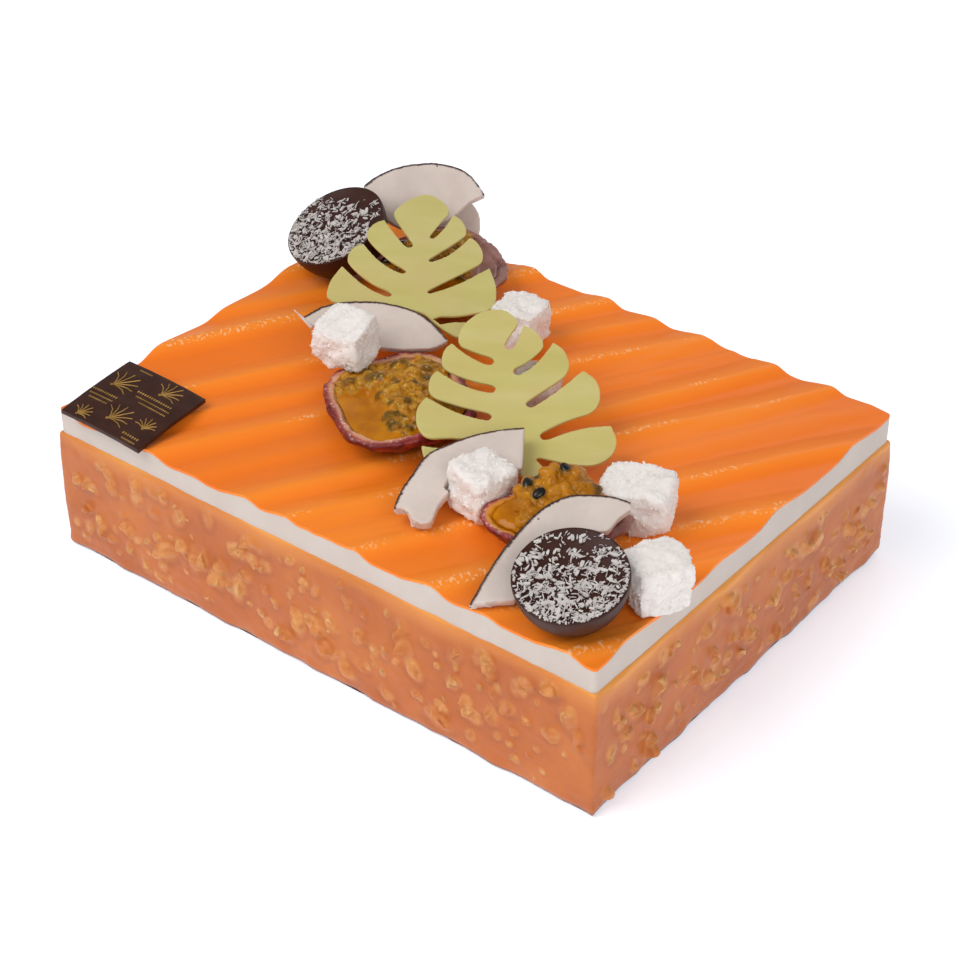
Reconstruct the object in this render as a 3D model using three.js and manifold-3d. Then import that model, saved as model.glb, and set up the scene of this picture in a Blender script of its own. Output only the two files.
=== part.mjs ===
// Rectangular coconut and passion fruit entremet: a block dipped in a nut coating, a band of white
// mousse with a combed top, an orange glaze, and fruit, coconut and chocolate on top of it.
// Millimetres, +Z up. The origin is the middle of the block's underside, X runs along its length.
import * as THREE from "three";
import { mergeVertices } from "three/addons/utils/BufferGeometryUtils.js";
import Module from "manifold-3d";

const wasm = await Module();
wasm.setup();

// Block
const LENGTH = 190; // of the mousse
const WIDTH = 143.6;
const CORNER_RADIUS = 1.2;
const COATING_HEIGHT = 40;
const COATING_PROUD = 1.8; // how far the coating stands out beyond the mousse
const GAP = 0.3; // clearance between two pieces that touch
const PRESS_CLEARANCE = 1.2 * GAP; // where a piece is pressed into a soft one
const GLAZE = 0.8; // thickness of the orange glaze

// The coating's section from the foot up: height, and how far it stands out as a share of the most.
const COATING_SECTION = [
  [0, 0.2],
  [1.4, 0.9],
  [6, 1.05],
  [35.5, 0.9],
  [38.4, 0.6],
  [39.6, 0.1],
  [COATING_HEIGHT, -0.6],
];
const COATING_SPACING = 15; // between the points of its outline
const COATING_WOBBLE = 0.3; // its walls wander by this
const FOOT_WOBBLE = 0.4; // and its foot by this besides

// Height of the combed top's troughs at the block's four corners
const TROUGH = { frontLeft: 45.8, frontRight: 47.3, backLeft: 50.5, backRight: 48 };

// The comb ran at this angle to X. Each ridge: its place across the comb's run at the front edge and
// at the back edge, measured from the front right corner, and its height.
const COMB_ANGLE = THREE.MathUtils.degToRad(59);
const RIDGES = [
  [-7.5, -7.5, 2.2],
  [-29.2, -25.7, 1.5],
  [-44.8, -42, 2.6],
  [-66.5, -62, 2.3],
  [-75.5, -79.8, 1.4],
  [-87, -90, 2.4],
  [-99.8, -106.1, 2.4],
  [-117, -118, 1],
  [-130.5, -128.5, 2.3],
  [-144.6, -144, 1.8],
  [-159, -158, 2.4],
  [-184, -182.4, 2.8],
  [-197.3, -197, 1.6],
  [-212.8, -212, 2.2],
  [-226, -226, 1.5],
];
const RIDGE_STEEP = 2.2; // width of a ridge's steep side
const RIDGE_GENTLE = 6.5; // width of its gentle side
const RIDGE_STATIONS = [3.4, 1.5, -0.4, -4, -9]; // where a ridge's section is sampled, across it
const COMB_ACROSS = [8, -250]; // the first and last place sampled across the comb
const COMB_ALONG = [-102, 127]; // and along it
const COMB_STEPS = 6; // samples along the comb's run
const COMB_CLOSEST = 1.8; // a sample nearer than this to the one before is left out
const COMB_WANDER = [0.9, 0.4]; // how far a ridge strays from its line, in long and in short waves
const ABOVE_ALL = 100; // higher than the block

// Nuts in the coating
const NUTS_LONG_SIDE = 34;
const NUTS_SHORT_SIDE = 24;
const NUT_RADIUS = [1.6, 3.3];
const NUT_LOWEST = 4;
const NUT_HIGHEST = 34.5;
const NUT_ROWS = 4;
const NUTS_END_SHORT = 10; // of a side's length
const NUT_ABOVE_FOOT = 0.6;

const SLICE_THICKNESS = 3.4;
const LEAF_THICKNESS = 0.9;

// Chocolate
const SQUARE_SIDE = 28.8;
const SQUARE_THICKNESS = 1.6;
const SQUARE_BOW = 0.9;
const DOME_SEGMENTS = 20;
const DOME_STEPS = 6;
const DOME_EDGE = 0.5; // rounding of a half ball's edge
const DOME_SHREDS = 12;
const SHRED = { length: [2.4, 4.2], width: [0.7, 1.1], thickness: 0.9 };

// Passion fruit
const FRUIT_SEGMENTS = 20;
const FRUIT_HOLLOW = 0.62; // how deep the hollow is, as a share of the rind's depth
const SAC_RADIUS = [2, 2.8];
const GOLDEN_TURN = 2.4; // radians between one and the next, so that many spread evenly round a middle

// Colours
const COLOUR = {
  coating: 0xcf7d4c,
  mousse: 0xdcccc0,
  glaze: 0xee7b2e,
  leaf: 0xc6bb74,
  flesh: 0xd6c7c1,
  coconut: 0xe9e0da,
  rind: 0x84304a,
  pulp: 0xa86f1c,
  dome: 0x2c1811,
  square: 0x4b2f29,
};

// The same numbers on every run
function randomFrom(seed) {
  let state = seed >>> 0;
  return () => {
    state = (state + 0x6d2b79f5) >>> 0;
    let t = Math.imul(state ^ (state >>> 15), 1 | state);
    t = (t + Math.imul(t ^ (t >>> 7), 61 | t)) ^ t;
    return ((t ^ (t >>> 14)) >>> 0) / 4294967296;
  };
}

const between = (random, low, high) => low + (high - low) * random();

// --- Solids -----------------------------------------------------------------------------------

function solidOf(geometry) {
  const bare = geometry.clone();
  bare.deleteAttribute("normal");
  bare.deleteAttribute("uv");
  const merged = mergeVertices(bare, 1e-4);
  return new wasm.Manifold(
    new wasm.Mesh({
      numProp: 3,
      vertProperties: merged.attributes.position.array,
      triVerts: new Uint32Array(merged.index.array),
    }),
  );
}

function geometryOf(solid) {
  const mesh = solid.getMesh();
  const geometry = new THREE.BufferGeometry();
  geometry.setAttribute("position", new THREE.BufferAttribute(mesh.vertProperties, 3));
  geometry.setIndex(new THREE.BufferAttribute(mesh.triVerts, 1));
  return geometry;
}

function fused(geometries) {
  return geometryOf(geometries.map(solidOf).reduce((all, next) => all.add(next)));
}

function meshOf(name, geometry, colour, roughness) {
  const flat = geometry.index ? geometry.toNonIndexed() : geometry;
  flat.computeVertexNormals();
  const material = new THREE.MeshStandardMaterial({ color: colour, roughness, metalness: 0 });
  const mesh = new THREE.Mesh(flat, material);
  mesh.name = name;
  return mesh;
}

// Turns about Z, then tips the far side up by pitch and the left side up by roll, in degrees.
function place(mesh, { at, turn = 0, pitch = 0, roll = 0 }) {
  const [x, y, z] = [pitch, roll, turn].map(THREE.MathUtils.degToRad);
  mesh.position.set(...at);
  mesh.rotation.set(x, y, z, "ZXY");
  return mesh;
}

// A closed skin over rings of points of equal count, each end closed by a fan to its middle.
function skinOver(rings, firstMiddle, lastMiddle) {
  const count = rings[0].length;
  const points = [...rings.flat(), firstMiddle, lastMiddle];
  const index = [];
  rings.slice(1).forEach((ring, r) => {
    for (let i = 0; i < count; i += 1) {
      const next = (i + 1) % count;
      const [a, b] = [r * count + i, r * count + next];
      index.push(a, b, b + count, a, b + count, a + count);
    }
  });
  const first = points.length - 2;
  const top = (rings.length - 1) * count;
  for (let i = 0; i < count; i += 1) {
    const next = (i + 1) % count;
    index.push(first, next, i, first + 1, top + i, top + next);
  }
  const geometry = new THREE.BufferGeometry();
  geometry.setAttribute("position", new THREE.Float32BufferAttribute(points.flat(), 3));
  geometry.setIndex(index);
  return geometry;
}

// --- Block: coated base, mousse and glaze ---------------------------------------------------------

// Points round a rectangle with rounded corners, each with its outward direction.
function roundedRectangle(length, width, radius, spacing) {
  const outline = [];
  const corners = [
    [1, -1, -90],
    [1, 1, 0],
    [-1, 1, 90],
    [-1, -1, 180],
  ];
  corners.forEach(([sx, sy, from], c) => {
    const centre = [sx * (length / 2 - radius), sy * (width / 2 - radius)];
    for (let k = 0; k <= 3; k += 1) {
      const angle = THREE.MathUtils.degToRad(from + 30 * k);
      const out = [Math.cos(angle), Math.sin(angle)];
      outline.push({ out, x: centre[0] + radius * out[0], y: centre[1] + radius * out[1] });
    }
    const last = outline.at(-1);
    const run = (c % 2 ? length : width) - 2 * radius;
    const steps = Math.round(run / spacing);
    for (let k = 1; k < steps; k += 1) {
      const along = (run * k) / steps;
      outline.push({ out: last.out, x: last.x - last.out[1] * along, y: last.y + last.out[0] * along });
    }
  });
  return outline;
}

function coatedBlock() {
  const outline = roundedRectangle(LENGTH, WIDTH, CORNER_RADIUS, COATING_SPACING);
  const top = COATING_SECTION.length - 1;
  const rings = COATING_SECTION.map(([z, share], level) =>
    outline.map((p, i) => {
      const foot = level < 2 ? FOOT_WOBBLE * Math.sin(i * 1.1) : 0;
      const wobble = level < top ? COATING_WOBBLE * Math.sin(i * 1.9 + level) + foot : 0;
      const reach = share * COATING_PROUD + wobble;
      return [p.x + p.out[0] * reach, p.y + p.out[1] * reach, z];
    }),
  );
  return skinOver(rings, [0, 0, 0], [0, 0, COATING_HEIGHT]);
}

// A chopped nut under the coating, at a place along a side and up it.
function nut(random, radius) {
  const geometry = new THREE.IcosahedronGeometry(radius, 0);
  geometry.scale(between(random, 0.9, 1.45), 0.65, between(random, 0.7, 1.1));
  geometry.rotateY(between(random, 0, Math.PI));
  return geometry;
}

// One side's nuts: the wall is divided into equal cells and each cell holds one nut.
function nutsOnSide({ reach, run, count }, turn, seed) {
  const random = randomFrom(seed);
  const columns = Math.ceil(count / NUT_ROWS);
  const rise = (NUT_HIGHEST - NUT_LOWEST) / NUT_ROWS;
  const nuts = [];
  for (let k = 0; k < count; k += 1) {
    const radius = NUT_RADIUS[0] + (NUT_RADIUS[1] - NUT_RADIUS[0]) * random() ** 1.4;
    const column = Math.floor(k / NUT_ROWS);
    const along = ((column + between(random, 0.1, 0.9)) / columns - 0.5) * (run - NUTS_END_SHORT);
    const up = NUT_LOWEST + ((k % NUT_ROWS) + between(random, 0.1, 0.9)) * rise;
    const depth = between(random, 0.05, 0.4) * radius;
    const geometry = nut(random, radius);
    geometry.translate(along, depth - reach, Math.max(up, radius + NUT_ABOVE_FOOT));
    geometry.rotateZ(turn);
    nuts.push(geometry);
  }
  return nuts;
}

function base() {
  const quarter = Math.PI / 2;
  const long = { reach: WIDTH / 2 + COATING_PROUD, run: LENGTH, count: NUTS_LONG_SIDE };
  const short = { reach: LENGTH / 2 + COATING_PROUD, run: WIDTH, count: NUTS_SHORT_SIDE };
  const nuts = [long, short, long, short].flatMap((side, k) => nutsOnSide(side, k * quarter, 11 + k));
  return meshOf("base", fused([coatedBlock(), ...nuts]), COLOUR.coating, 0.35);
}

// Place across and along the comb's run, from the front right corner, and back again.
function combOf(x, y) {
  const [dx, dy] = [x - LENGTH / 2, y + WIDTH / 2];
  const [c, s] = [Math.cos(COMB_ANGLE), Math.sin(COMB_ANGLE)];
  return { across: s * dx - c * dy, along: c * dx + s * dy };
}

function fromComb(across, along) {
  const [c, s] = [Math.cos(COMB_ANGLE), Math.sin(COMB_ANGLE)];
  return [s * across + c * along + LENGTH / 2, -c * across + s * along - WIDTH / 2];
}

// Where a ridge's crest lies across the comb, at a share of the way from the front edge to the back
// and at a place along it: it wanders a little.
function crestOf(ridge, share, along) {
  const [front, back] = RIDGES[ridge];
  const [long, short] = COMB_WANDER;
  const wander = long * Math.sin(along / 17 + ridge * 1.7) + short * Math.sin(along / 7.3 + ridge);
  return front + (back - front) * THREE.MathUtils.clamp(share, -0.2, 1.2) + wander;
}

function topHeight(x, y) {
  const right = x / LENGTH + 0.5;
  const back = y / WIDTH + 0.5;
  const front = THREE.MathUtils.lerp(TROUGH.frontLeft, TROUGH.frontRight, right);
  const rear = THREE.MathUtils.lerp(TROUGH.backLeft, TROUGH.backRight, right);
  const { across, along } = combOf(x, y);
  const ridges = RIDGES.reduce((sum, [, , height], k) => {
    const offset = across - crestOf(k, back, along);
    return sum + height * Math.exp(-((offset / (offset > 0 ? RIDGE_STEEP : RIDGE_GENTLE)) ** 2));
  }, 0);
  return THREE.MathUtils.lerp(front, rear, back) + ridges;
}

// The places sampled across the comb on one line, from its right to its left.
function combStations(along) {
  const ridges = RIDGES.flatMap((_, k) => {
    const [, y] = fromComb(crestOf(k, 0.5, along), along);
    return RIDGE_STATIONS.map((offset) => crestOf(k, y / WIDTH + 0.5, along) + offset);
  });
  return [COMB_ACROSS[0], ...ridges, COMB_ACROSS[1]];
}

// A slab between two heights, sampled on lines that follow the ridges.
function combedSlab(topOf, bottomOf) {
  const alongs = Array.from({ length: COMB_STEPS + 1 }, (_, step) =>
    THREE.MathUtils.lerp(...COMB_ALONG, step / COMB_STEPS),
  );
  const lines = alongs.map(combStations);
  const mean = lines[0].map((_, i) => lines.reduce((sum, line) => sum + line[i], 0) / lines.length);
  const kept = mean.reduce(
    (list, across, i) => (i && mean[list.at(-1)] - across < COMB_CLOSEST ? list : [...list, i]),
    [],
  );
  const grid = lines.map((line, r) => {
    let last = Infinity;
    return kept.map((i) => {
      last = Math.min(line[i], last - COMB_CLOSEST / 3);
      return fromComb(last, alongs[r]);
    });
  });
  const columns = kept.length;
  const layer = (heightOf) => grid.flat().map(([x, y]) => [x, y, heightOf(x, y)]);
  const points = [...layer(topOf), ...layer(bottomOf)];
  const half = points.length / 2;
  const index = [];
  const quad = (a, b, c, d) => index.push(a, b, c, a, c, d);
  for (let r = 0; r < COMB_STEPS; r += 1) {
    for (let k = 0; k < columns - 1; k += 1) {
      const [a, b] = [r * columns + k, (r + 1) * columns + k];
      quad(a, b, b + 1, a + 1);
      quad(half + a, half + a + 1, half + b + 1, half + b);
    }
    const [left, right] = [r * columns, (r + 1) * columns - 1];
    quad(left, half + left, half + left + columns, left + columns);
    quad(right + columns, half + right + columns, half + right, right);
  }
  for (let k = 0; k < columns - 1; k += 1) {
    const last = COMB_STEPS * columns + k;
    quad(k + 1, half + k + 1, half + k, k);
    quad(last, half + last, half + last + 1, last + 1);
  }
  const geometry = new THREE.BufferGeometry();
  geometry.setAttribute("position", new THREE.Float32BufferAttribute(points.flat(), 3));
  geometry.setIndex(index);
  return geometry;
}

// The part of a slab inside the block's rounded outline.
function withinOutline(slab) {
  const outline = roundedRectangle(LENGTH, WIDTH, CORNER_RADIUS, LENGTH);
  const shape = new THREE.Shape(outline.map((p) => new THREE.Vector2(p.x, p.y)));
  const prism = new THREE.ExtrudeGeometry(shape, { depth: ABOVE_ALL, bevelEnabled: false });
  return geometryOf(solidOf(slab).intersect(solidOf(prism)));
}

function mousse() {
  const top = (x, y) => topHeight(x, y) - GLAZE - GAP;
  const slab = combedSlab(top, () => COATING_HEIGHT + GAP);
  return meshOf("mousse", withinOutline(slab), COLOUR.mousse, 0.6);
}

function glaze() {
  const slab = combedSlab(topHeight, (x, y) => topHeight(x, y) - GLAZE);
  return meshOf("glaze", withinOutline(slab), COLOUR.glaze, 0.25);
}

// --- Chocolate --------------------------------------------------------------------------------------

// A thin square of dark chocolate, bowed up in its middle.
function chocolateSquare() {
  const geometry = new THREE.BoxGeometry(SQUARE_SIDE, SQUARE_SIDE, SQUARE_THICKNESS, 4, 4, 1);
  const position = geometry.attributes.position;
  for (let i = 0; i < position.count; i += 1) {
    const [u, v] = [position.getX(i) / SQUARE_SIDE, position.getY(i) / SQUARE_SIDE];
    position.setZ(i, position.getZ(i) + SQUARE_BOW * (1 - 2 * (u * u + v * v)));
  }
  const mesh = meshOf("chocolate_square", geometry, COLOUR.square, 0.3);
  return place(mesh, { at: [-74.8, -61.2, 51], turn: 3.3, pitch: 3.4, roll: 5.5 });
}

// Half a ball of chocolate, flat side up, with coconut shreds on the flat side: denser towards -Y.
function chocolateDome(name, radius, seed, placing) {
  const random = randomFrom(seed);
  const profile = [];
  for (let k = 0; k <= DOME_STEPS; k += 1) {
    const angle = (k * Math.PI) / 2 / DOME_STEPS;
    profile.push(new THREE.Vector2(radius * Math.sin(angle), -radius * Math.cos(angle)));
  }
  profile[0].x = 0;
  profile.push(new THREE.Vector2(radius - DOME_EDGE, DOME_EDGE), new THREE.Vector2(0, DOME_EDGE));
  const body = new THREE.LatheGeometry(profile, DOME_SEGMENTS);
  body.rotateX(Math.PI / 2);
  const shreds = [];
  for (let k = 0; k < DOME_SHREDS; k += 1) {
    const reach = (radius - 3) * Math.sqrt((k + 0.5) / DOME_SHREDS);
    const angle = k * GOLDEN_TURN;
    const size = [between(random, ...SHRED.length), between(random, ...SHRED.width), SHRED.thickness];
    const shred = new THREE.BoxGeometry(...size);
    shred.rotateZ(between(random, 0, Math.PI));
    shred.translate(reach * Math.cos(angle), reach * Math.sin(angle), DOME_EDGE + 0.1);
    shreds.push(shred);
  }
  return place(meshOf(name, fused([body, ...shreds]), COLOUR.dome, 0.35), placing);
}

// --- Chocolate leaves ---------------------------------------------------------------------------------

// A slot of a leaf, from the tip down: where it ends inside the leaf and its width there, the corner of
// the lobe above it, the tip of the lobe below it, how far its sides sag, how much wider it is in its
// middle, and how round the edge of the lobe above it is.
const LEAF_BACK = {
  tip: [4, 30],
  right: [
    {
      end: [5.6, 8.6], width: 1.5, above: [11.2, 21.8], below: [12.3, 20.8],
      sag: 0.5, belly: 1.3, round: 0.2,
    },
    {
      end: [5.2, -2.4], width: 1.6, above: [16.2, 11], below: [17.6, 10.6],
      sag: 1, belly: 1.6, round: 0.22,
    },
    {
      end: [5, -16.6], width: 1.6, above: [20.6, -2], below: [23.5, -2.8],
      sag: 0.6, belly: 1.2, round: 0.24,
    },
  ],
  left: [
    {
      end: [-0.4, 3.4], width: 3, above: [-6.3, 18.8], below: [-8.8, 15.4],
      sag: 0.4, belly: 0, round: 0.14,
    },
    {
      end: [-1.8, -8.8], width: 3, above: [-13.1, 5.2], below: [-14.8, 3.5],
      sag: 1.8, belly: 0.6, round: 0.3,
    },
    {
      end: [-5.8, -19.4], width: 2.8, above: [-18.2, -7], below: [-20.7, -7.5],
      sag: 1.8, belly: 0.4, round: 0.3,
    },
  ],
  rightFoot: [
    [25.2, -20.4], [19.6, -24], [8.7, -26.5], [6.6, -28], [8.9, -30.2], [16.6, -28.4], [16.4, -34.6],
    [13.6, -35.2], [3.4, -24.6],
  ],
  leftFoot: [[-24.9, -21.2], [-21.6, -24.4], [-13, -22.8], [3.4, -24.6]],
};
const LEAF_FRONT = {
  tip: [-5.4, 33.8],
  right: [
    {
      end: [-2.4, 18.6], width: 2.8, above: [0.8, 28.2], below: [2.3, 27.6],
      sag: 0.2, belly: 0.7, round: 0.24,
    },
    {
      end: [-0.4, 9.2], width: 3, above: [7.9, 19], below: [10.5, 21.2],
      sag: 1.2, belly: 0.4, round: 0.24,
    },
    {
      end: [2.8, -2.6], width: 3, above: [13, 7.6], below: [18.6, 10.6],
      sag: 0.3, belly: 0.6, round: 0.3,
    },
    {
      end: [6.2, -13.6], width: 3.4, above: [20.2, -5.2], below: [25.8, -9.3],
      sag: -1.1, belly: -0.7, round: 0.34,
    },
    {
      end: [5.2, -20.9], width: 1.4, above: [15, -23.2], below: [8.6, -25.8],
      sag: 0, belly: 0, round: 0.5,
    },
  ],
  left: [
    {
      end: [-6.3, 13.3], width: 3.1, above: [-16.1, 20], below: [-18, 20.9],
      sag: 0.6, belly: 0.8, round: 0.3,
    },
    {
      end: [-5.8, 3.2], width: 3.1, above: [-20, 11], below: [-22, 10.7],
      sag: 1.2, belly: 0.5, round: 0.24,
    },
    {
      end: [-6.9, -6.7], width: 2.8, above: [-23, 0.8], below: [-24.9, 0.9],
      sag: 0.9, belly: 0.8, round: 0.26,
    },
    {
      end: [-6, -17], width: 2.6, above: [-24, -14], below: [-25.9, -16.6],
      sag: -0.3, belly: 1.6, round: 0.3,
    },
  ],
  rightFoot: [[5, -28.5], [1.5, -28]],
  leftFoot: [[-24, -22.8], [-11, -25.4], [-1, -22], [1.5, -28]],
};
const FOOT_ROUND = 0.1; // how round the edges at a leaf's foot are
const LOBE_STEPS = 4;
const SLOT_STEPS = 3;
const FOOT_STEPS = 2;
const SLOT_END = [60, 120]; // the points of a slot's rounded end, in degrees of its half circle

// The outline of one side of a leaf from its tip to its foot, as points. Side is 1 right, -1 left.
function leafSide(slots, from, side, foot) {
  const points = [];
  // The rounded edge of a lobe
  const lobe = (a, b, round, steps = LOBE_STEPS) => {
    const [dx, dy] = [b[0] - a[0], b[1] - a[1]];
    const [ox, oy] = [-dy * side * round, dx * side * round];
    const handle = (share) => new THREE.Vector2(a[0] + dx * share + ox, a[1] + dy * share + oy);
    const ends = [new THREE.Vector2(...a), new THREE.Vector2(...b)];
    const path = new THREE.CubicBezierCurve(ends[0], handle(0.15), handle(0.85), ends[1]);
    points.push(...path.getPoints(steps).slice(1));
  };
  // A side of a slot, which sags a little
  const edge = (a, b, sag) => {
    const middle = new THREE.Vector2((a[0] + b[0]) / 2, (a[1] + b[1]) / 2 - 2 * sag);
    const ends = [new THREE.Vector2(...a), new THREE.Vector2(...b)];
    const path = new THREE.QuadraticBezierCurve(ends[0], middle, ends[1]);
    points.push(...path.getPoints(SLOT_STEPS).slice(1));
  };
  let here = from;
  slots.forEach(({ end: [x, y], width, above, below, sag, belly, round }) => {
    const out = new THREE.Vector2((above[0] + below[0]) / 2 - x, (above[1] + below[1]) / 2 - y);
    out.setLength(width / 2);
    const inside = (degrees) => {
      const angle = THREE.MathUtils.degToRad(degrees);
      const [along, across] = [1 - Math.sin(angle), side * Math.cos(angle)];
      return [x + out.x * along - out.y * across, y + out.y * along + out.x * across];
    };
    lobe(here, above, round);
    edge(above, inside(0), sag - belly / 2);
    points.push(...[...SLOT_END, 180].map((degrees) => new THREE.Vector2(...inside(degrees))));
    edge(inside(180), below, sag + belly / 2);
    here = below;
  });
  foot.forEach((next) => {
    lobe(here, next, FOOT_ROUND, FOOT_STEPS);
    here = next;
  });
  return points;
}

function leaf(name, form, placing) {
  const tip = new THREE.Vector2(...form.tip);
  const right = leafSide(form.right, form.tip, 1, form.rightFoot);
  const left = leafSide(form.left, form.tip, -1, form.leftFoot);
  const shape = new THREE.Shape([tip, ...right, ...left.reverse().slice(1)]);
  const geometry = new THREE.ExtrudeGeometry(shape, { depth: LEAF_THICKNESS, bevelEnabled: false });
  geometry.translate(0, 0, -LEAF_THICKNESS);
  return place(meshOf(name, geometry, COLOUR.leaf, 0.4), placing);
}

// --- Coconut ------------------------------------------------------------------------------------------

// A slice of coconut flesh: its skin edge and its inner edge as smooth lines between the ends.
function coconutSlice(name, skinEdge, innerEdge, placing) {
  const points = (list) => list.map(([x, y]) => new THREE.Vector2(x, y));
  const line = (list) => new THREE.SplineCurve(points(list)).getPoints(3 * (list.length - 1));
  const shape = new THREE.Shape([...line(skinEdge), ...line(innerEdge)]);
  const geometry = new THREE.ExtrudeGeometry(shape, { depth: SLICE_THICKNESS, bevelEnabled: false });
  geometry.translate(0, 0, -SLICE_THICKNESS);
  return place(meshOf(name, geometry, COLOUR.flesh, 0.45), placing);
}

// A block of coconut rolled in grated coconut: every corner of its mesh is a little out of place.
function coconutCube(name, size, seed, placing) {
  const random = randomFrom(seed);
  const rough = 0.55;
  const geometry = mergeVertices(bareBox(size, 3), 1e-3);
  const position = geometry.attributes.position;
  for (let i = 0; i < position.count; i += 1) {
    const at = [position.getX(i), position.getY(i), position.getZ(i)];
    const onFaces = at.filter((value, axis) => Math.abs(value) > size[axis] / 2 - 1e-3).length;
    const shrink = [1, 1, 0.95, 0.86][onFaces]; // edges and corners are worn
    position.setXYZ(i, ...at.map((value) => value * shrink + between(random, -rough, rough)));
  }
  return place(meshOf(name, geometry, COLOUR.coconut, 0.8), placing);
}

function bareBox(size, parts) {
  const box = new THREE.BoxGeometry(...size, parts, parts, parts);
  box.deleteAttribute("normal");
  box.deleteAttribute("uv");
  return box;
}

// --- Passion fruit --------------------------------------------------------------------------------------

// reach: half its length and half its width, square: how four-cornered it is and which way, depth: of
// the rind, rind: its thickness with the pith, peak: the top of the mound.
const FRUIT_MIDDLE = {
  reach: [21.5, 24.5],
  square: { amount: 0.07, angle: 155 },
  depth: 7.2,
  rind: 3.4,
  peak: [0, 1, 3],
  sacs: 9,
};
const FRUIT_FRONT = {
  reach: [19.5, 12.5],
  square: { amount: 0.05, angle: 0 },
  depth: 6.4,
  rind: 3,
  peak: [1.5, 6.3, 9.6],
  sacs: 10,
};
const FRUIT_BACK = {
  reach: [20.5, 24],
  square: { amount: 0.05, angle: -15 },
  depth: 7,
  rind: 3.2,
  peak: [0, 0, 3],
  sacs: 6,
};

// A cut half of passion fruit: a bowl of rind, and in it the juice and a mound of pulp sacs.
function passionFruit(name, { reach, square, depth, rind, peak, sacs }, seed, placing) {
  const random = randomFrom(seed);
  const hollow = FRUIT_HOLLOW * depth;
  const cornerAt = THREE.MathUtils.degToRad(square.angle);
  const ring = (share, z, inset = 0, shift = 0) =>
    Array.from({ length: FRUIT_SEGMENTS }, (_, k) => {
      const angle = (k * 2 * Math.PI) / FRUIT_SEGMENTS;
      const corner = 1 + square.amount * Math.cos(4 * (angle - cornerAt));
      const [rx, ry] = reach.map((r) => (r * corner - inset) * share);
      return [rx * Math.cos(angle) + peak[0] * shift, ry * Math.sin(angle) + peak[1] * shift, z];
    });
  const bowl = skinOver(
    [
      ring(0.5, -depth),
      ring(0.84, -depth * 0.72),
      ring(0.98, -depth * 0.3),
      ring(1, -0.7),
      ring(1, 0, 0.7),
      ring(1, 0, rind - 0.5),
      ring(1, -0.8, rind),
      ring(0.7, -hollow, rind),
    ],
    [0, 0, -depth],
    [0, 0, -hollow],
  );
  const clear = rind + GAP;
  const filling = skinOver(
    [
      ring(0.7, GAP - hollow, clear),
      ring(1, -0.5, clear),
      ring(0.96, -0.1, clear),
      ring(0.5, peak[2] * 0.6, clear, 0.6),
    ],
    [0, 0, GAP - hollow],
    peak,
  );
  const pulp = Array.from({ length: sacs }, (_, k) => {
    const share = 0.7 * Math.sqrt((k + 0.5) / sacs);
    const angle = k * GOLDEN_TURN + between(random, -0.4, 0.4);
    const sac = new THREE.IcosahedronGeometry(between(random, ...SAC_RADIUS), 0);
    sac.scale(1.25, 0.9, 0.8);
    sac.rotateZ(between(random, 0, Math.PI));
    sac.translate(
      (reach[0] - rind) * share * Math.cos(angle) + peak[0] * (1 - share),
      (reach[1] - rind) * share * Math.sin(angle) + peak[1] * (1 - share),
      peak[2] * (1 - share) + between(random, -0.2, 0.5),
    );
    return sac;
  });
  return [
    place(meshOf(`${name}_rind`, bowl, COLOUR.rind, 0.5), placing),
    place(meshOf(`${name}_pulp`, fused([filling, ...pulp]), COLOUR.pulp, 0.2), placing),
  ];
}

// Takes from a soft piece what a neighbour, grown by the clearance, presses into it.
function pressInto(piece, neighbour) {
  [piece, neighbour].forEach((mesh) => mesh.updateMatrix());
  const stamp = neighbour.geometry.clone();
  stamp.computeBoundingBox();
  const middle = stamp.boundingBox.getCenter(new THREE.Vector3());
  const size = stamp.boundingBox.getSize(new THREE.Vector3()).toArray();
  const grown = size.map((v) => 1 + (2 * PRESS_CLEARANCE) / v);
  stamp.translate(-middle.x, -middle.y, -middle.z);
  stamp.scale(...grown);
  stamp.translate(middle.x, middle.y, middle.z);
  stamp.applyMatrix4(neighbour.matrix).applyMatrix4(piece.matrix.clone().invert());
  const left = solidOf(piece.geometry).subtract(solidOf(stamp)).decompose();
  const whole = left.reduce((most, part) => (part.volume() > most.volume() ? part : most));
  piece.geometry = geometryOf(whole).toNonIndexed();
  piece.geometry.computeVertexNormals();
}

// --- Assembly -----------------------------------------------------------------------------------------

const DIAGONAL = 38.3; // most toppings lie square to the diagonal through the front right corner

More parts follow.
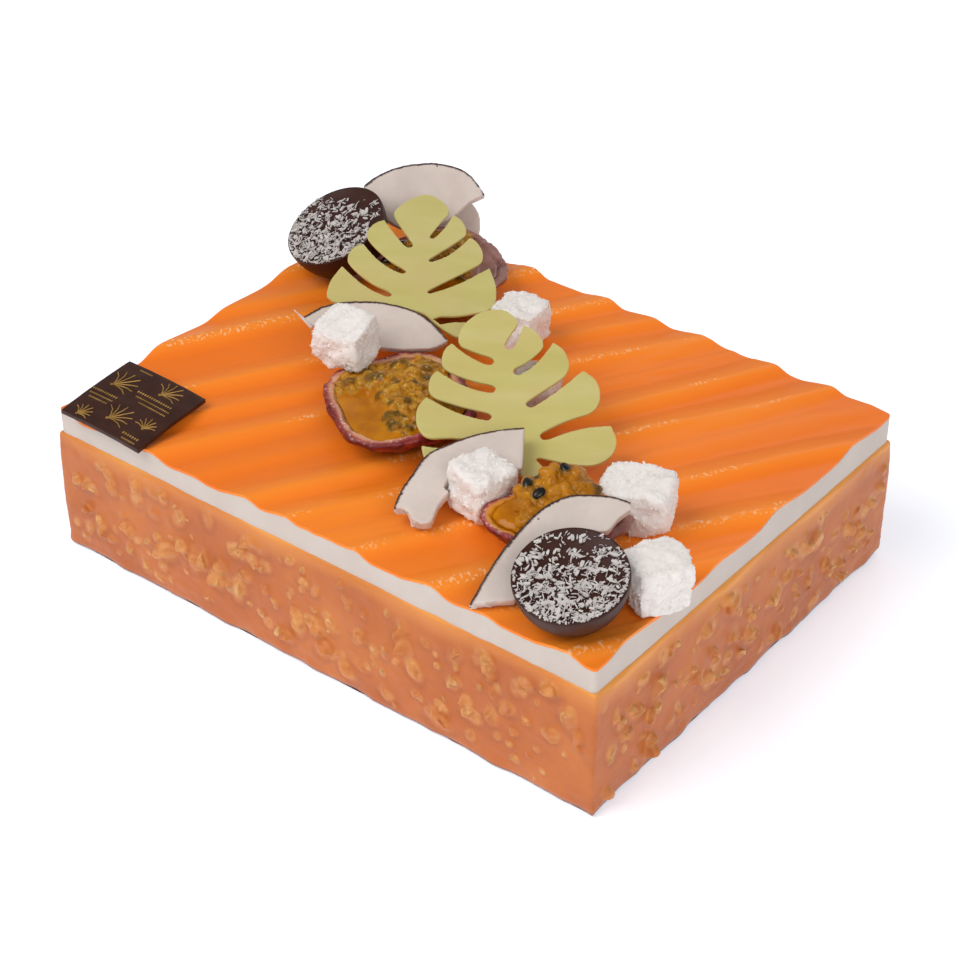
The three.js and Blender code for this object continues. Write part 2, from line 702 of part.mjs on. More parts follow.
const toppings = [
  chocolateSquare(),
  chocolateDome("chocolate_dome_front", 14.9, 5, {
    at: [79.2, -61.3, 62.7],
    turn: 17.5,
    pitch: 18,
  }),
  chocolateDome("chocolate_dome_back", 16.2, 6, {
    at: [-81.4, 33.8, 66.6],
    turn: -19.8,
    pitch: 26.9,
  }),
  ...passionFruit("passion_fruit_middle", FRUIT_MIDDLE, 21, {
    at: [-12.1, -18.5, 57.6],
    turn: DIAGONAL,
  }),
  ...passionFruit("passion_fruit_front", FRUIT_FRONT, 22, {
    at: [56.8, -36.5, 57.5],
    turn: DIAGONAL,
    pitch: 8,
  }),
  ...passionFruit("passion_fruit_back", FRUIT_BACK, 23, {
    at: [-49, 45.7, 59.4],
    turn: DIAGONAL,
  }),
  leaf("leaf_back", LEAF_BACK, { at: [-48.3, 31.1, 69], turn: DIAGONAL, pitch: 11, roll: 6 }),
  leaf("leaf_front", LEAF_FRONT, { at: [19.7, -5.8, 63], turn: DIAGONAL, pitch: 17 }),
  coconutSlice(
    "coconut_slice_back",
    [[17, -3.8], [13, 2], [8, 5.3], [0, 6.8], [-9, 5.8], [-16, 3], [-21, -0.8]],
    [[-18.5, -5.5], [-13, -12.5], [-4, -15.5], [6, -11.5], [11.8, -6.3]],
    { at: [-68.4, 64.6, 73.1], turn: DIAGONAL, pitch: 45 },
  ),
  coconutSlice(
    "coconut_slice_left",
    [[17, -4.8], [12, 1.2], [5, 5.3], [-4, 7.2], [-13, 7.1], [-20, 5.6]],
    [[-25, 2.5], [-22.5, 0], [-14, -4], [-4, -6.8], [4, -7.6], [12, -7.4], [16.4, -5.6]],
    { at: [-32.8, 2.1, 64], turn: DIAGONAL, pitch: 38 },
  ),
  coconutSlice(
    "coconut_slice_middle",
    [
      [14.6, 13.9], [7.9, 13.2], [2, 11.8], [-3.9, 9.5],
      [-11.4, 5.2], [-14.9, 0], [-18.4, -6.6], [-20, -11.7],
    ],
    [
      [-16.5, -12.2], [-14.5, -16.1], [-10.3, -16.4], [-8.5, -11.3],
      [-5, -6.2], [0, -1.9], [6, 0.4], [13.9, 0.5],
    ],
    { at: [27.9, -36.7, 59.5], turn: DIAGONAL, pitch: 22 },
  ),
  coconutSlice(
    "coconut_slice_front",
    [
      [21, 10.8], [15, 12.5], [9, 13], [4, 12.2],
      [-1, 9.5], [-6, 5], [-14, -5.5], [-20.5, -17.5],
    ],
    [[-9, -16.4], [-6, -9], [-1.5, -2.5], [4, 1.5], [10, 2.8], [14.5, 2.5], [17.5, 6], [21, 8.6]],
    { at: [63.9, -49.3, 60], turn: DIAGONAL, pitch: 30 },
  ),
  coconutSlice(
    "coconut_slice_far",
    [[4.6, -7], [5, 0], [3, 4.4], [0, 5.6], [-5, 5.4], [-11, 4], [-13, 0]],
    [[-12, -5], [-5, -7.2], [0, -7.7]],
    { at: [-59.7, 70.4, 61], turn: DIAGONAL, pitch: 65 },
  ),
];

const cubes = [
  ["coconut_cube_left", [16, 14.5, 13], [-36.1, -13.2, 65.3], 8, 14],
  ["coconut_cube_back", [14.5, 15, 13.6], [-10.2, 34.8, 57.8], 10, 0],
  ["coconut_cube_middle", [14.5, 14, 14.6], [33.2, -38.3, 57.5], 80, 8],
  ["coconut_cube_right", [19.5, 15.5, 13], [68.9, -17.7, 57.7], 20, 6],
  ["coconut_cube_front", [16, 15.5, 14], [90.6, -40.4, 55.6], 62, 4],
  ["coconut_cube_under_leaf", [13, 12, 13], [16, 8, 57.2], 20, 0],
].map(([name, size, at, turn, pitch], k) => coconutCube(name, size, 31 + k, { at, turn, pitch }));

const group = new THREE.Group();
group.add(base(), mousse(), glaze(), ...toppings, ...cubes);

[
  ["passion_fruit_back_rind", "chocolate_dome_back"],
  ["passion_fruit_front_rind", "coconut_cube_right"],
  ["passion_fruit_front_pulp", "coconut_cube_right"],
  ["coconut_slice_left", "coconut_cube_left"],
  ["coconut_slice_middle", "coconut_cube_middle"],
  ["coconut_cube_back", "leaf_back"],
].forEach((names) => pressInto(...names.map((name) => group.getObjectByName(name))));

export default group;
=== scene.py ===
# The looks of a coconut and passion fruit entremet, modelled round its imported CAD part.
# Metres, +Z up. The origin is the middle of the block's underside, X runs along its length.
import contextlib
import math
import random

import bpy
import numpy as np
from mathutils import Euler, Matrix, Vector
from mathutils.kdtree import KDTree


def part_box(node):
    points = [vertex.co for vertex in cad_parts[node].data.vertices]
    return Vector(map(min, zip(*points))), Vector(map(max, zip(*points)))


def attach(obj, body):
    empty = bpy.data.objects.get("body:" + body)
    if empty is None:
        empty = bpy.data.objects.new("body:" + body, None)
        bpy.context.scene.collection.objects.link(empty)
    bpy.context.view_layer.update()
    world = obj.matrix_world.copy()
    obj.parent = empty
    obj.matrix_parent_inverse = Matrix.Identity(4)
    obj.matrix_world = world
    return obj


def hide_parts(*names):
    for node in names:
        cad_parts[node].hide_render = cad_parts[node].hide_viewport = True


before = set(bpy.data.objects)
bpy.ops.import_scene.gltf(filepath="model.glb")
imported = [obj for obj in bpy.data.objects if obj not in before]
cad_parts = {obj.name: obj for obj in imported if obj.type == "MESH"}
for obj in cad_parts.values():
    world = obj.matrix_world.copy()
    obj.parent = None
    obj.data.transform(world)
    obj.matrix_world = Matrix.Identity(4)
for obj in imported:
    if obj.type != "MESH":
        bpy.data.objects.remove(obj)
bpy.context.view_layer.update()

MM = 0.001

# --- The block's sizes, from the frame ---

GLAZE_LOW, GLAZE_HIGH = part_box("glaze")
COATING_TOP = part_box("base")[1].z
LENGTH = GLAZE_HIGH.x - GLAZE_LOW.x
WIDTH = GLAZE_HIGH.y - GLAZE_LOW.y
COATING_PROUD = 1.8 * MM  # how far the coating stands out beyond the mousse
GLAZE = 0.8 * MM
CORNER_RADIUS = 1.2 * MM

# The comb ran at this angle to X.
COMB_ANGLE = math.radians(59)
# Most toppings lie square to the diagonal through the front right corner.
DIAGONAL = 38.3

# Where the toppings lie: middle in mm, turn about Z, then the tip of the far side up, in degrees.
DOMES = {
    "chocolate_dome_front": (14.9, (79.2, -61.3, 62.7), 17.5, 18),
    "chocolate_dome_back": (16.2, (-81.4, 33.8, 66.6), -19.8, 26.9),
}
SQUARE = ((-74.8, -61.2, 51), 3.3, 3.4, 5.5)
SQUARE_SIDE = 28.8 * MM
SQUARE_THICK = 1.3 * MM
# The gold print, in mm and degrees: palm fronds (foot, turn, length), and rows of lozenges between them
# (where a row starts, its length, how tall its lozenges are).
PALMS = (
    (-10, 3, 50, 7.5), (4, 7.5, 60, 6.5), (-0.8, -9.2, 55, 7), (-9.5, -12.8, 62, 4.5), (9.7, -7, 95, 4.5),
)
FROND_LEAN = 24  # degrees from one stroke of a frond to the next
GOLD_LINE = 0.17  # half the width of a stroke
LOZENGES = (
    (-2, 4.4, 13, 1.1), (-1, 2.4, 12.5, 0.8), (1.5, 0.7, 10, 0.8),
    (-13.6, -1.6, 9.5, 1.1), (-13.2, -3.5, 9, 0.8), (-12, -5.2, 7, 0.8),
    (6.5, -11.6, 6.5, 1.1), (7.5, -13.4, 5.5, 0.8), (-8.5, 12.6, 5, 0.7),
)
SLICES = {
    "coconut_slice_back": ((-68.4, 64.6, 73.1), 45),
    "coconut_slice_left": ((-32.8, 2.1, 64), 38),
    "coconut_slice_middle": ((27.9, -36.7, 59.5), 22),
    "coconut_slice_front": ((63.9, -49.3, 60), 30),
    "coconut_slice_far": ((-59.7, 70.4, 61), 65),
}
# Some slices end torn: from this place along them on, in mm.
TORN_FROM = {"coconut_slice_middle": -12, "coconut_slice_front": -12}
PEELED = "coconut_slice_far"  # its brown skin was cut off
SKIN_THICK = 0.75  # mm
LEAVES = {
    "leaf_back": ((-48.3, 31.1, 69), DIAGONAL, 11, 6),
    "leaf_front": ((19.7, -5.8, 63), DIAGONAL, 17),
}
LEAF_THICK = 0.9 * MM
BLUNT = math.radians(66)  # a corner of a leaf's outline that turns by more stays sharp
CUBES = ("left", "back", "middle", "right", "front", "under_leaf")
SHREDS_ON_CUBE = 2600
SHREDS_ON_HALF_BALL = 1250


def placed(at, turn, pitch=0, roll=0):
    """The matrix that carries a topping from its own frame, in metres, to its place in mm and degrees."""
    tip = Matrix.Rotation(math.radians(pitch), 4, "X") @ Matrix.Rotation(math.radians(roll), 4, "Y")
    return Matrix.Translation(Vector(at) * MM) @ turned(turn) @ tip


def turned(angle):
    """A turn about Z, in degrees."""
    return Matrix.Rotation(math.radians(angle), 4, "Z")


# --- Modelling helpers ---


def pick(*pieces):
    bpy.ops.object.select_all(action="DESELECT")
    for piece in pieces:
        piece.select_set(True)
    bpy.context.view_layer.objects.active = pieces[0]


@contextlib.contextmanager
def editing(piece, faces=None):
    """Edit mode with everything selected, or only the faces whose middle and normal pass the test."""
    pick(piece)
    if faces is not None:
        mesh = piece.data
        mesh.vertices.foreach_set("select", [False] * len(mesh.vertices))
        mesh.edges.foreach_set("select", [False] * len(mesh.edges))
        mesh.polygons.foreach_set("select", [bool(faces(f.center, f.normal)) for f in mesh.polygons])
    bpy.ops.object.mode_set(mode="EDIT")
    bpy.ops.mesh.select_mode(type="FACE")
    if faces is None:
        bpy.ops.mesh.select_all(action="SELECT")
    yield
    bpy.ops.object.mode_set(mode="OBJECT")


def modified(piece, kind, **settings):
    """Adds a modifier and applies it."""
    pick(piece)
    modifier = piece.modifiers.new(kind.title(), kind)
    for key, value in settings.items():
        setattr(modifier, key, value)
    bpy.ops.object.modifier_apply(modifier=modifier.name)
    return piece


def displaced(piece, *waves):
    """Pushes the surface in and out by cloud patterns, each of a grain and a depth in mm."""
    for size, depth in waves:
        texture = bpy.data.textures.new("relief", "CLOUDS")
        texture.noise_scale = size * MM
        modified(piece, "DISPLACE", texture=texture, strength=depth * MM, mid_level=0.5)
        bpy.data.textures.remove(texture)
    return piece


def remeshed(piece, grain_mm, rounds):
    """Remeshes a solid at one grain size and rubs its edges down."""
    modified(piece, "REMESH", mode="VOXEL", voxel_size=grain_mm * MM)
    return modified(piece, "SMOOTH", factor=0.5, iterations=rounds)


def bevelled(piece, width_mm, segments, angle=30):
    """Rounds the edges that turn by more than the angle."""
    limit = {"limit_method": "ANGLE", "angle_limit": math.radians(angle)}
    return modified(piece, "BEVEL", width=width_mm * MM, segments=segments, **limit)


def made(name, size=None):
    """The piece that the last operator added, named, and brought to size where one is given."""
    piece = bpy.context.object
    piece.name = name
    piece.data.name = name
    if size is not None:
        piece.scale = size
        fixed(piece)
    return piece


def fixed(piece):
    """Moves the object's place, turn and size into its mesh."""
    pick(piece)
    bpy.ops.object.transform_apply(location=True, rotation=True, scale=True)
    return piece


def linked(name, data):
    """A new object of that data, in the scene."""
    new = bpy.data.objects.new(name, data)
    bpy.context.scene.collection.objects.link(new)
    return new


def copied(node, name):
    """A copy of a CAD node's solid, its loose triangles merged."""
    piece = linked(name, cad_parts[node].data.copy())
    piece.data.materials.clear()
    with editing(piece):
        bpy.ops.mesh.remove_doubles(threshold=0.01 * MM)
    return piece


def joined(*pieces):
    """All of them as the first."""
    pick(*pieces)
    bpy.ops.object.join()
    return pieces[0]


def points_of(piece, what="co"):
    """Each vertex's place, or its normal, as rows."""
    flat = np.empty(len(piece.data.vertices) * 3, np.float32)
    piece.data.vertices.foreach_get(what, flat)
    return flat.reshape(-1, 3).astype(float)


def move_points(piece, points):
    piece.data.vertices.foreach_set("co", points.astype(np.float32).ravel())
    piece.data.update()


def carried(points, matrix):
    matrix = np.array(matrix)
    return points @ matrix[:3, :3].T + matrix[:3, 3]


def own_frame(points, matrix):
    """Points of the row frame in a topping's own frame, in mm."""
    return carried(points, matrix.inverted()) / MM


def own_normals(piece, matrix):
    """A piece's normals in a topping's own frame."""
    return points_of(piece, "normal") @ np.array(matrix)[:3, :3]


def about(place, points, within):
    """Which points lie near a place, and how far from its middle they are, in its own measure."""
    near = np.flatnonzero(np.abs(points - np.array(place.translation)).max(axis=1) < within)
    return near, np.linalg.norm(carried(points[near], place.inverted()), axis=1)


def tipped(x, y, z, order="XYZ"):
    """A turn by three angles, in radians."""
    return Euler((x, y, z), order).to_matrix().to_4x4()


def upright(direction):
    """The turn that points a piece's Z along a direction."""
    return Vector(direction).to_track_quat("Z", "Y").to_matrix().to_4x4()


def clipped(values):
    return np.clip(values, 0, 1)


def paint(piece, name, values):
    """Stores a number on each vertex, for a material to read."""
    layer = piece.data.attributes.new(name, "FLOAT", "POINT")
    layer.data.foreach_set("value", clipped(values).astype(np.float32))


def repeated(name, templates, places, draw):
    """One mesh of many copies: each place gets one of the templates, drawn in turn."""
    shapes = [(points_of(t), [tuple(f.vertices) for f in t.data.polygons]) for t in templates]
    all_points, all_faces, start = [], [], 0
    for place in places:
        points, faces = shapes[draw.randrange(len(shapes))]
        all_points.append(carried(points, place))
        all_faces += [tuple(v + start for v in f) for f in faces]
        start += len(points)
    mesh = bpy.data.meshes.new(name)
    mesh.from_pydata(np.concatenate(all_points).tolist(), [], all_faces)
    return linked(name, mesh)


def discard(*pieces):
    for piece in pieces:
        bpy.data.objects.remove(piece)


def finished(piece, finish, stands_for=(), sharp=50):
    """Shades, paints and mounts a piece on the body, and hides the CAD nodes that it stands for."""
    pick(piece)
    bpy.ops.object.shade_smooth_by_angle(angle=math.radians(sharp))
    piece.data.materials.clear()
    piece.data.materials.append(finish)
    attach(piece, "root")
    if stands_for:
        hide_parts(*stands_for)
    return piece


# --- Materials ---

CLEAR, FULL = "#000000", "#ffffff"  # the ends of a mask


def linear(code, alpha=1.0):
    """An sRGB hex colour as linear numbers."""
    parts = [int(code[i : i + 2], 16) / 255 for i in (1, 3, 5)]
    return (*(p / 12.92 if p <= 0.04045 else ((p + 0.055) / 1.055) ** 2.4 for p in parts), alpha)


def add(tree, kind, inputs=None, output=0, stops=(), **settings):
    """Adds a node and gives its output. Settings are its properties, stops a ramp's (place, colour).
    An input is a value, a hex colour, another node's output or the name of what is painted there."""
    new = tree.nodes.new(kind)
    for key, value in settings.items():
        setattr(new, key, value)
    for k, (place, code) in enumerate(stops[:1] + stops[-1:]):
        element = new.color_ramp.elements[k]
        element.position, element.color = place, linear(code)
    for place, code in stops[1:-1]:
        new.color_ramp.elements.new(place).color = linear(code)
    for key, value in (inputs or {}).items():
        if isinstance(value, str) and not value.startswith("#"):
            value = add(tree, "ShaderNodeAttribute", output="Fac", attribute_name=value)
        if isinstance(value, bpy.types.NodeSocket):
            tree.links.new(value, new.inputs[key])
        else:
            new.inputs[key].default_value = linear(value) if isinstance(value, str) else value
    return new.outputs[output] if len(new.outputs) else None


def blank(name):
    """A new material with an empty node tree."""
    material = bpy.data.materials.new(name)
    material.use_nodes = True
    material.node_tree.nodes.clear()
    return material, material.node_tree


def grain(tree, size_mm, detail=3.0, rough=0.55, stretch=None, turn=0.0):
    """A noise of that grain size on the piece's own coordinates, stretched along its turned axes."""
    place = add(tree, "ShaderNodeTexCoord", output="Object")
    if stretch is not None:
        rotation = (0, 0, -math.radians(turn))
        place = add(tree, "ShaderNodeMapping", {"Vector": place, "Rotation": rotation})
        place = add(tree, "ShaderNodeMapping", {"Vector": place, "Scale": stretch})
    inputs = {"Vector": place, "Scale": 1 / (size_mm * MM), "Detail": detail, "Roughness": rough}
    return add(tree, "ShaderNodeTexNoise", inputs)


def mottled(tree, size_mm, *stops, **pattern):
    """Colours, or a mask, that follow a noise of that grain size."""
    noise = grain(tree, size_mm, **pattern)
    return add(tree, "ShaderNodeValToRGB", {"Fac": noise}, stops=stops)


def layered(tree, colour, *layers, blend="MIX"):
    """Colours laid over the first one after another, each where its mask shows it."""
    for mask, over in layers:
        inputs = {0: mask, 6: colour, 7: over}
        colour = add(tree, "ShaderNodeMix", inputs, 2, data_type="RGBA", blend_type=blend)
    return colour


def raised(tree, size_mm, depth_mm, strength, under=None, **pattern):
    """A low relief of that grain size and depth, over another one if it is given."""
    inputs = {"Height": grain(tree, size_mm, **pattern), "Distance": depth_mm * MM, "Strength": strength}
    if under is not None:
        inputs["Normal"] = under
    return add(tree, "ShaderNodeBump", inputs)


def surfaced(tree, colour, roughness, ior=None, gloss=None, glow=None, **others):
    """Ends a material. The glow is how much light goes in, and how far in mm by colour."""
    inputs = {"Base Color": colour, "Roughness": roughness, **others}
    if ior is not None:
        inputs["IOR"] = ior
    if gloss is not None:
        inputs["Specular IOR Level"] = gloss
    if glow is not None:
        inputs["Subsurface Weight"], *depths = glow
        inputs["Subsurface Radius"] = [depth * MM for depth in depths]
        inputs["Subsurface Scale"] = 1.0
    shader = add(tree, "ShaderNodeBsdfPrincipled", inputs)
    add(tree, "ShaderNodeOutputMaterial", {"Surface": shader})


def nut_coating():
    """Blond chocolate thinned with oil, dipped over chopped nuts and set: soft satin, nuts glow through."""
    material, tree = blank("blond_chocolate_nut_coating_dipped")
    body = mottled(tree, 20, (0.3, "#b4602b"), (0.5, "#be6830"), (0.7, "#c87336"))
    rosy = mottled(tree, 9, (0.5, CLEAR), (0.75, "#909090"))
    nuts = mottled(tree, 2.4, (0.25, "#b87242"), (0.42, "#cc864a"), (0.6, "#d89a5a"), (0.75, "#e2ae70"))
    # The rim colour paints the band under the top edge paler, and this mask a thin still paler line along
    # that edge.
    edge = add(tree, "ShaderNodeValToRGB", {"Fac": "rim"}, stops=((0.8, CLEAR), (0.95, "#b0b0b0")))
    colour = layered(
        # The painted shade colour darkens a ring under each nut and the coating along the foot.
        tree, body, (rosy, "#b2623e"), ("nut", nuts), ("painted_shade", "#8c4a2a"), ("rim", "#dd8c44"),
        # The foot colour is a painted contact shadow, a dark line along the bottom edge.
        (edge, "#f0a44a"), ("foot", "#3d2022"),
    )
    fine = raised(tree, 0.8, 0.12, 0.5, detail=4)
    broad = raised(tree, 3, 0.4, 0.4, fine)
    surfaced(tree, colour, 0.38, 1.46, 0.35, (0.05, 2, 1, 0.6), Normal=broad)
    return material


def nut_kernel():
    """Roasted almond and hazelnut, chopped: matt tan where cut, with scraps of brown skin."""
    material, tree = blank("roasted_nut_chopped")
    cut = mottled(tree, 2.6, (0.3, "#b07640"), (0.5, "#c98d50"), (0.72, "#dcaa6c"))
    scraps = mottled(tree, 5, (0.66, CLEAR), (0.7, "#c0c0c0"), detail=2)
    colour = layered(tree, cut, (scraps, "#7c5236"))
    crumbly = raised(tree, 0.7, 0.15, 0.6, detail=4)
    surfaced(tree, colour, 0.42, 1.46, 0.4, (0.1, 2, 1.4, 0.8), Normal=crumbly)
    return material


def white_mousse():
    """Whipped coconut mousse, frozen and cut: dull and even, with tiny bubbles."""
    material, tree = blank("coconut_mousse_whipped")
    colour = mottled(tree, 14, (0.3, "#c7bab0"), (0.7, "#cec2b9"))
    fine_specks = raised(tree, 0.5, 0.08, 0.5, detail=4)
    surfaced(tree, colour, 0.62, 1.4, glow=(0.15, 3, 2.8, 2.5), Normal=fine_specks)
    return material


def orange_glaze():
    """Fruit glaze with cocoa butter, poured over the combed top: satin gloss, deeper where it pools."""
    material, tree = blank("passion_fruit_glaze_poured")
    depth = ((0.1, "#fb8e2b"), (0.5, "#f98425"), (1.0, "#f1771d"))
    pooled = add(tree, "ShaderNodeValToRGB", {"Fac": "pool"}, stops=depth)
    patches = mottled(tree, 30, (0.3, CLEAR), (0.8, "#909090"), detail=2)
    # Pale specks painted in runs along the crests stand for glints of light.
    along = math.degrees(COMB_ANGLE)
    fine = {"detail": 0, "rough": 0.5, "stretch": (1, 0.5, 1), "turn": along}
    crest_glints = mottled(tree, 0.7, (0.56, CLEAR), (0.68, FULL), **fine)
    in_runs = mottled(tree, 22, (0.46, CLEAR), (0.56, "#c4c4c4"), detail=1)
    on_crest = add(tree, "ShaderNodeValToRGB", {"Fac": "crest"}, stops=((0.5, CLEAR), (0.8, FULL)))
    shown = layered(tree, crest_glints, (1.0, in_runs), (1.0, on_crest), blend="MULTIPLY")
    # Painted glints: pale specks laid over the glaze colour.
    colour = layered(tree, pooled, (patches, "#f77f20"), (shown, "#ffd3a0"))
    streaks = raised(tree, 2.2, 0.08, 0.4, detail=2, rough=0.5, stretch=(0.25, 1, 1), turn=along)
    pores = raised(tree, 0.9, 0.05, 0.55, streaks, detail=2)
    surfaced(tree, colour, 0.34, 1.45, 0.25, Normal=pores)
    return material


def dark_chocolate(name, colour, worn):
    """Tempered dark chocolate, moulded: smooth satin with faint bloom and fine scuffs."""
    material, tree = blank(name)
    bloom = mottled(tree, 6, (0.4, colour), (0.8, worn), detail=4)
    surfaced(tree, bloom, 0.42, 1.5, 0.22, Normal=raised(tree, 0.6, 0.05, 0.4, detail=4))
    return material


def gold_leaf():
    """Gold mica ink, transferred to the chocolate: a thin satin line that glints here and there."""
    material, tree = blank("gold_mica_transfer_print")
    surfaced(tree, mottled(tree, 3, (0.35, "#a37c36"), (0.7, "#cda25c")), 0.4, Metallic=0.5)
    return material


def green_chocolate():
    """White chocolate coloured with green cocoa butter, spread thin and cut out: semi-matt, streaked."""
    material, tree = blank("green_white_chocolate_spread")
    swept = {"rough": 0.5, "stretch": (0.22, 1, 1), "turn": DIAGONAL}
    body = mottled(tree, 9, (0.3, "#bfb466"), (0.5, "#c6bb70"), (0.72, "#cfc484"), **swept)
    clouds = mottled(tree, 18, (0.35, CLEAR), (0.75, FULL), detail=2)
    colour = layered(tree, body, (clouds, "#c9b774"))
    brushed = raised(tree, 1.6, 0.06, 0.5, rough=0.6, stretch=(0.15, 1, 1), turn=DIAGONAL)
    surfaced(tree, colour, 0.42, 1.46, glow=(0.1, 2, 2, 1), Normal=brushed)
    return material


def coconut_flesh():
    """Fresh coconut, sliced: waxy translucent white with a thin brown skin on its outer edge."""
    material, tree = blank("fresh_coconut_sliced")
    flesh = mottled(tree, 11, (0.3, "#cdbfb6"), (0.7, "#d8cbc2"))
    dots = mottled(tree, 2.2, (0.84, CLEAR), (0.86, FULL), detail=0)
    skin = mottled(tree, 1.5, (0.3, "#2b1a16"), (0.7, "#4f352d"))
    colour = layered(tree, flesh, (dots, "#8c7a74"), ("skin", skin))
    fibres = raised(tree, 0.8, 0.08, 0.4, rough=0.6, stretch=(1, 0.3, 1), turn=DIAGONAL)
    surfaced(tree, colour, 0.42, 1.42, 0.35, (0.25, 4, 3, 2.6), Normal=fibres)
    return material


def grated_coconut(name, dull, bright, glow=0.0):
    """Desiccated coconut: dry, white and fibrous; light goes a little way into a thick layer of it."""
    material, tree = blank(name)
    fibres = raised(tree, 0.5, 0.06, 0.5)
    colour = mottled(tree, 3, (0.3, dull), (0.7, bright))
    surfaced(tree, colour, 0.7, 1.4, glow=(glow, 4, 3.6, 3.4), Normal=fibres)
    return material


def fruit_rind():
    """Ripe passion fruit skin, wrinkled and waxy, with a pink to cream pith inside."""
    material, tree = blank("passion_fruit_rind_ripe")
    skin = mottled(tree, 4, (0.3, "#4c1014"), (0.5, "#77201f"), (0.7, "#9c3a2c"), detail=4)
    inward = ((0.0, "#6e1f22"), (0.42, "#97403a"), (0.68, "#cb8a70"), (1.0, "#d09a62"))
    pith = add(tree, "ShaderNodeValToRGB", {"Fac": "pith"}, stops=inward)
    flush = mottled(tree, 3, (0.35, "#97264a"), (0.7, "#c9655c"))
    flecks = mottled(tree, 0.9, (0.56, CLEAR), (0.72, FULL), detail=2)
    cut = layered(tree, pith, ("blush", flush), (flecks, "#e0bfae"))
    bare = mottled(tree, 6, (0.3, "#84544e"), (0.7, "#a67a70"))
    colour = layered(tree, skin, ("rim", cut), ("soaked", "#d38a1c"), ("wall", bare))
    wrinkles = raised(tree, 2.2, 0.6, 0.7, detail=4)
    surfaced(tree, colour, 0.3, 1.45, 0.4, (0.08, 3, 1.2, 1), Normal=wrinkles)
    return material


def fruit_pulp():
    """Passion fruit juice and pulp: amber where the juice is clear, murky gold on the sacs, wet all over."""
    material, tree = blank("passion_fruit_pulp_wet")
    clear = mottled(tree, 7, (0.35, "#a86000"), (0.65, "#c47a00"))
    murky = ((0.32, "#7c5210"), (0.48, "#ab7614"), (0.66, "#cd9a3c"))
    murky = mottled(tree, 1.8, *murky, detail=5, rough=0.7)
    olive = mottled(tree, 6, (0.48, CLEAR), (0.72, "#909090"), detail=2)
    heaped = layered(tree, murky, (olive, "#8b7420"))
    # Painted glints: pale specks on the sacs stand for highlights on the wet pulp.
    fine_specks = mottled(tree, 1.1, (0.64, CLEAR), (0.7, "#c0c0c0"), detail=1)
    sac_glints = layered(tree, fine_specks, (1.0, "sac"), blend="MULTIPLY")
    bare = mottled(tree, 5, (0.3, "#8a5a52"), (0.7, "#a5766a"))
    colour = layered(
        tree, clear, ("sac", heaped), ("seed", "#2f2a12"), (sac_glints, "#e9c673"), ("wall", bare),
    )
    ripple = raised(tree, 3, 0.2, 0.3, detail=2)
    surfaced(tree, colour, 0.08, 1.36, 0.35, (0.25, 3, 1.5, 0.4), Normal=ripple)
    return material


def seeds():
    """Passion fruit seeds: hard, black-brown and glossy with juice."""
    material, tree = blank("passion_fruit_seed")
    colour = mottled(tree, 1.2, (0.35, "#0d0c08"), (0.7, "#221f14"))
    surfaced(tree, colour, 0.22, 1.5, 0.35, Normal=raised(tree, 0.5, 0.1, 0.6))
    return material


# --- Block ---

NUTS_LONG_SIDE = 175
NUTS_SHORT_SIDE = 132
BARE_NUTS = 0.5  # the share that isn't quite covered
NUT_LOWEST, NUT_HIGHEST = 3.2 * MM, 36 * MM
COATING_GRAIN = 0.52  # mm
COATING_TRIANGLES = 190000  # what the coating is thinned to, so that its STL file stays whole
# The coating's section from the foot up: height in mm, and how proud it stands as a share of the most.
COATING_SECTION = (
    (0, -0.2), (0.8, 0.1), (2, 0.35), (6, 0.6), (22, 0.65), (35, 0.5), (39, 0.35), (39.6, 0.25), (40, 0),
)
RIM_BAND = 6 * MM  # where the coating is painted paler under its top edge
FOOT_BAND = 5 * MM  # where it has run out in lumps above its foot


def chopped_nuts():
    """Chips of nut, 1 across: rough little solids cut flat on some sides."""
    chips = []
    cuts = (
        (
            ((0.45, 0.2, 0), (1, 0.4, 0.2)), ((-0.2, 0.5, 0.2), (-0.5, 1, 0.3)),
            ((0, -0.1, 0.45), (0.1, -0.3, 1)),
        ), (
            ((0.3, -0.3, 0), (0.7, -0.8, 0.1)), ((-0.5, 0, 0.1), (-1, 0.1, 0.4)),
            ((0, 0.4, -0.2), (0.2, 1, -0.5)),
        ), (
            ((0, 0, 0.35), (0.3, 0.1, 1)), ((0, 0, -0.4), (0.2, -0.3, -1)),
            ((0.5, 0.2, 0), (1, 0.9, 0)),
        ),
    )
    for k, planes in enumerate(cuts):
        bpy.ops.mesh.primitive_ico_sphere_add(subdivisions=2, radius=1)
        chip = made(f"nut_chip_{k}")
        for point, normal in planes:
            with editing(chip):
                bpy.ops.mesh.bisect(plane_co=point, plane_no=normal, clear_outer=True, use_fill=True)
        chips.append(chip)
    return chips


def nut_places(draw):
    """Places round the four sides: where along the wall, how high, how far in and how large."""
    places = []
    long_side = (WIDTH / 2, LENGTH, NUTS_LONG_SIDE)
    short_side = (LENGTH / 2, WIDTH, NUTS_SHORT_SIDE)
    for turn, (reach, run, count) in zip((0, 90, 180, 270), (long_side, short_side) * 2):
        for k in range(count):
            size = (0.9 + 2.1 * draw.random() ** 1.5) * MM
            along = ((k + draw.uniform(-1, 2)) / count - 0.5) * (run - 7 * MM)
            height = NUT_LOWEST + draw.random() ** 0.9 * (NUT_HIGHEST - NUT_LOWEST)
            out = reach + COATING_PROUD - size * draw.uniform(-0.2, 0.45)
            spot = Matrix.Translation((along, -out, max(height, size)))
            lie = tipped(*(draw.uniform(0, math.tau) for _ in range(3)))
            long, tall = draw.uniform(0.9, 1.5), draw.uniform(0.7, 1)
            shape = Matrix.Diagonal((size * long, size * 0.8, size * tall, 1))
            places.append(turned(turn) @ spot @ lie @ shape)
    return places


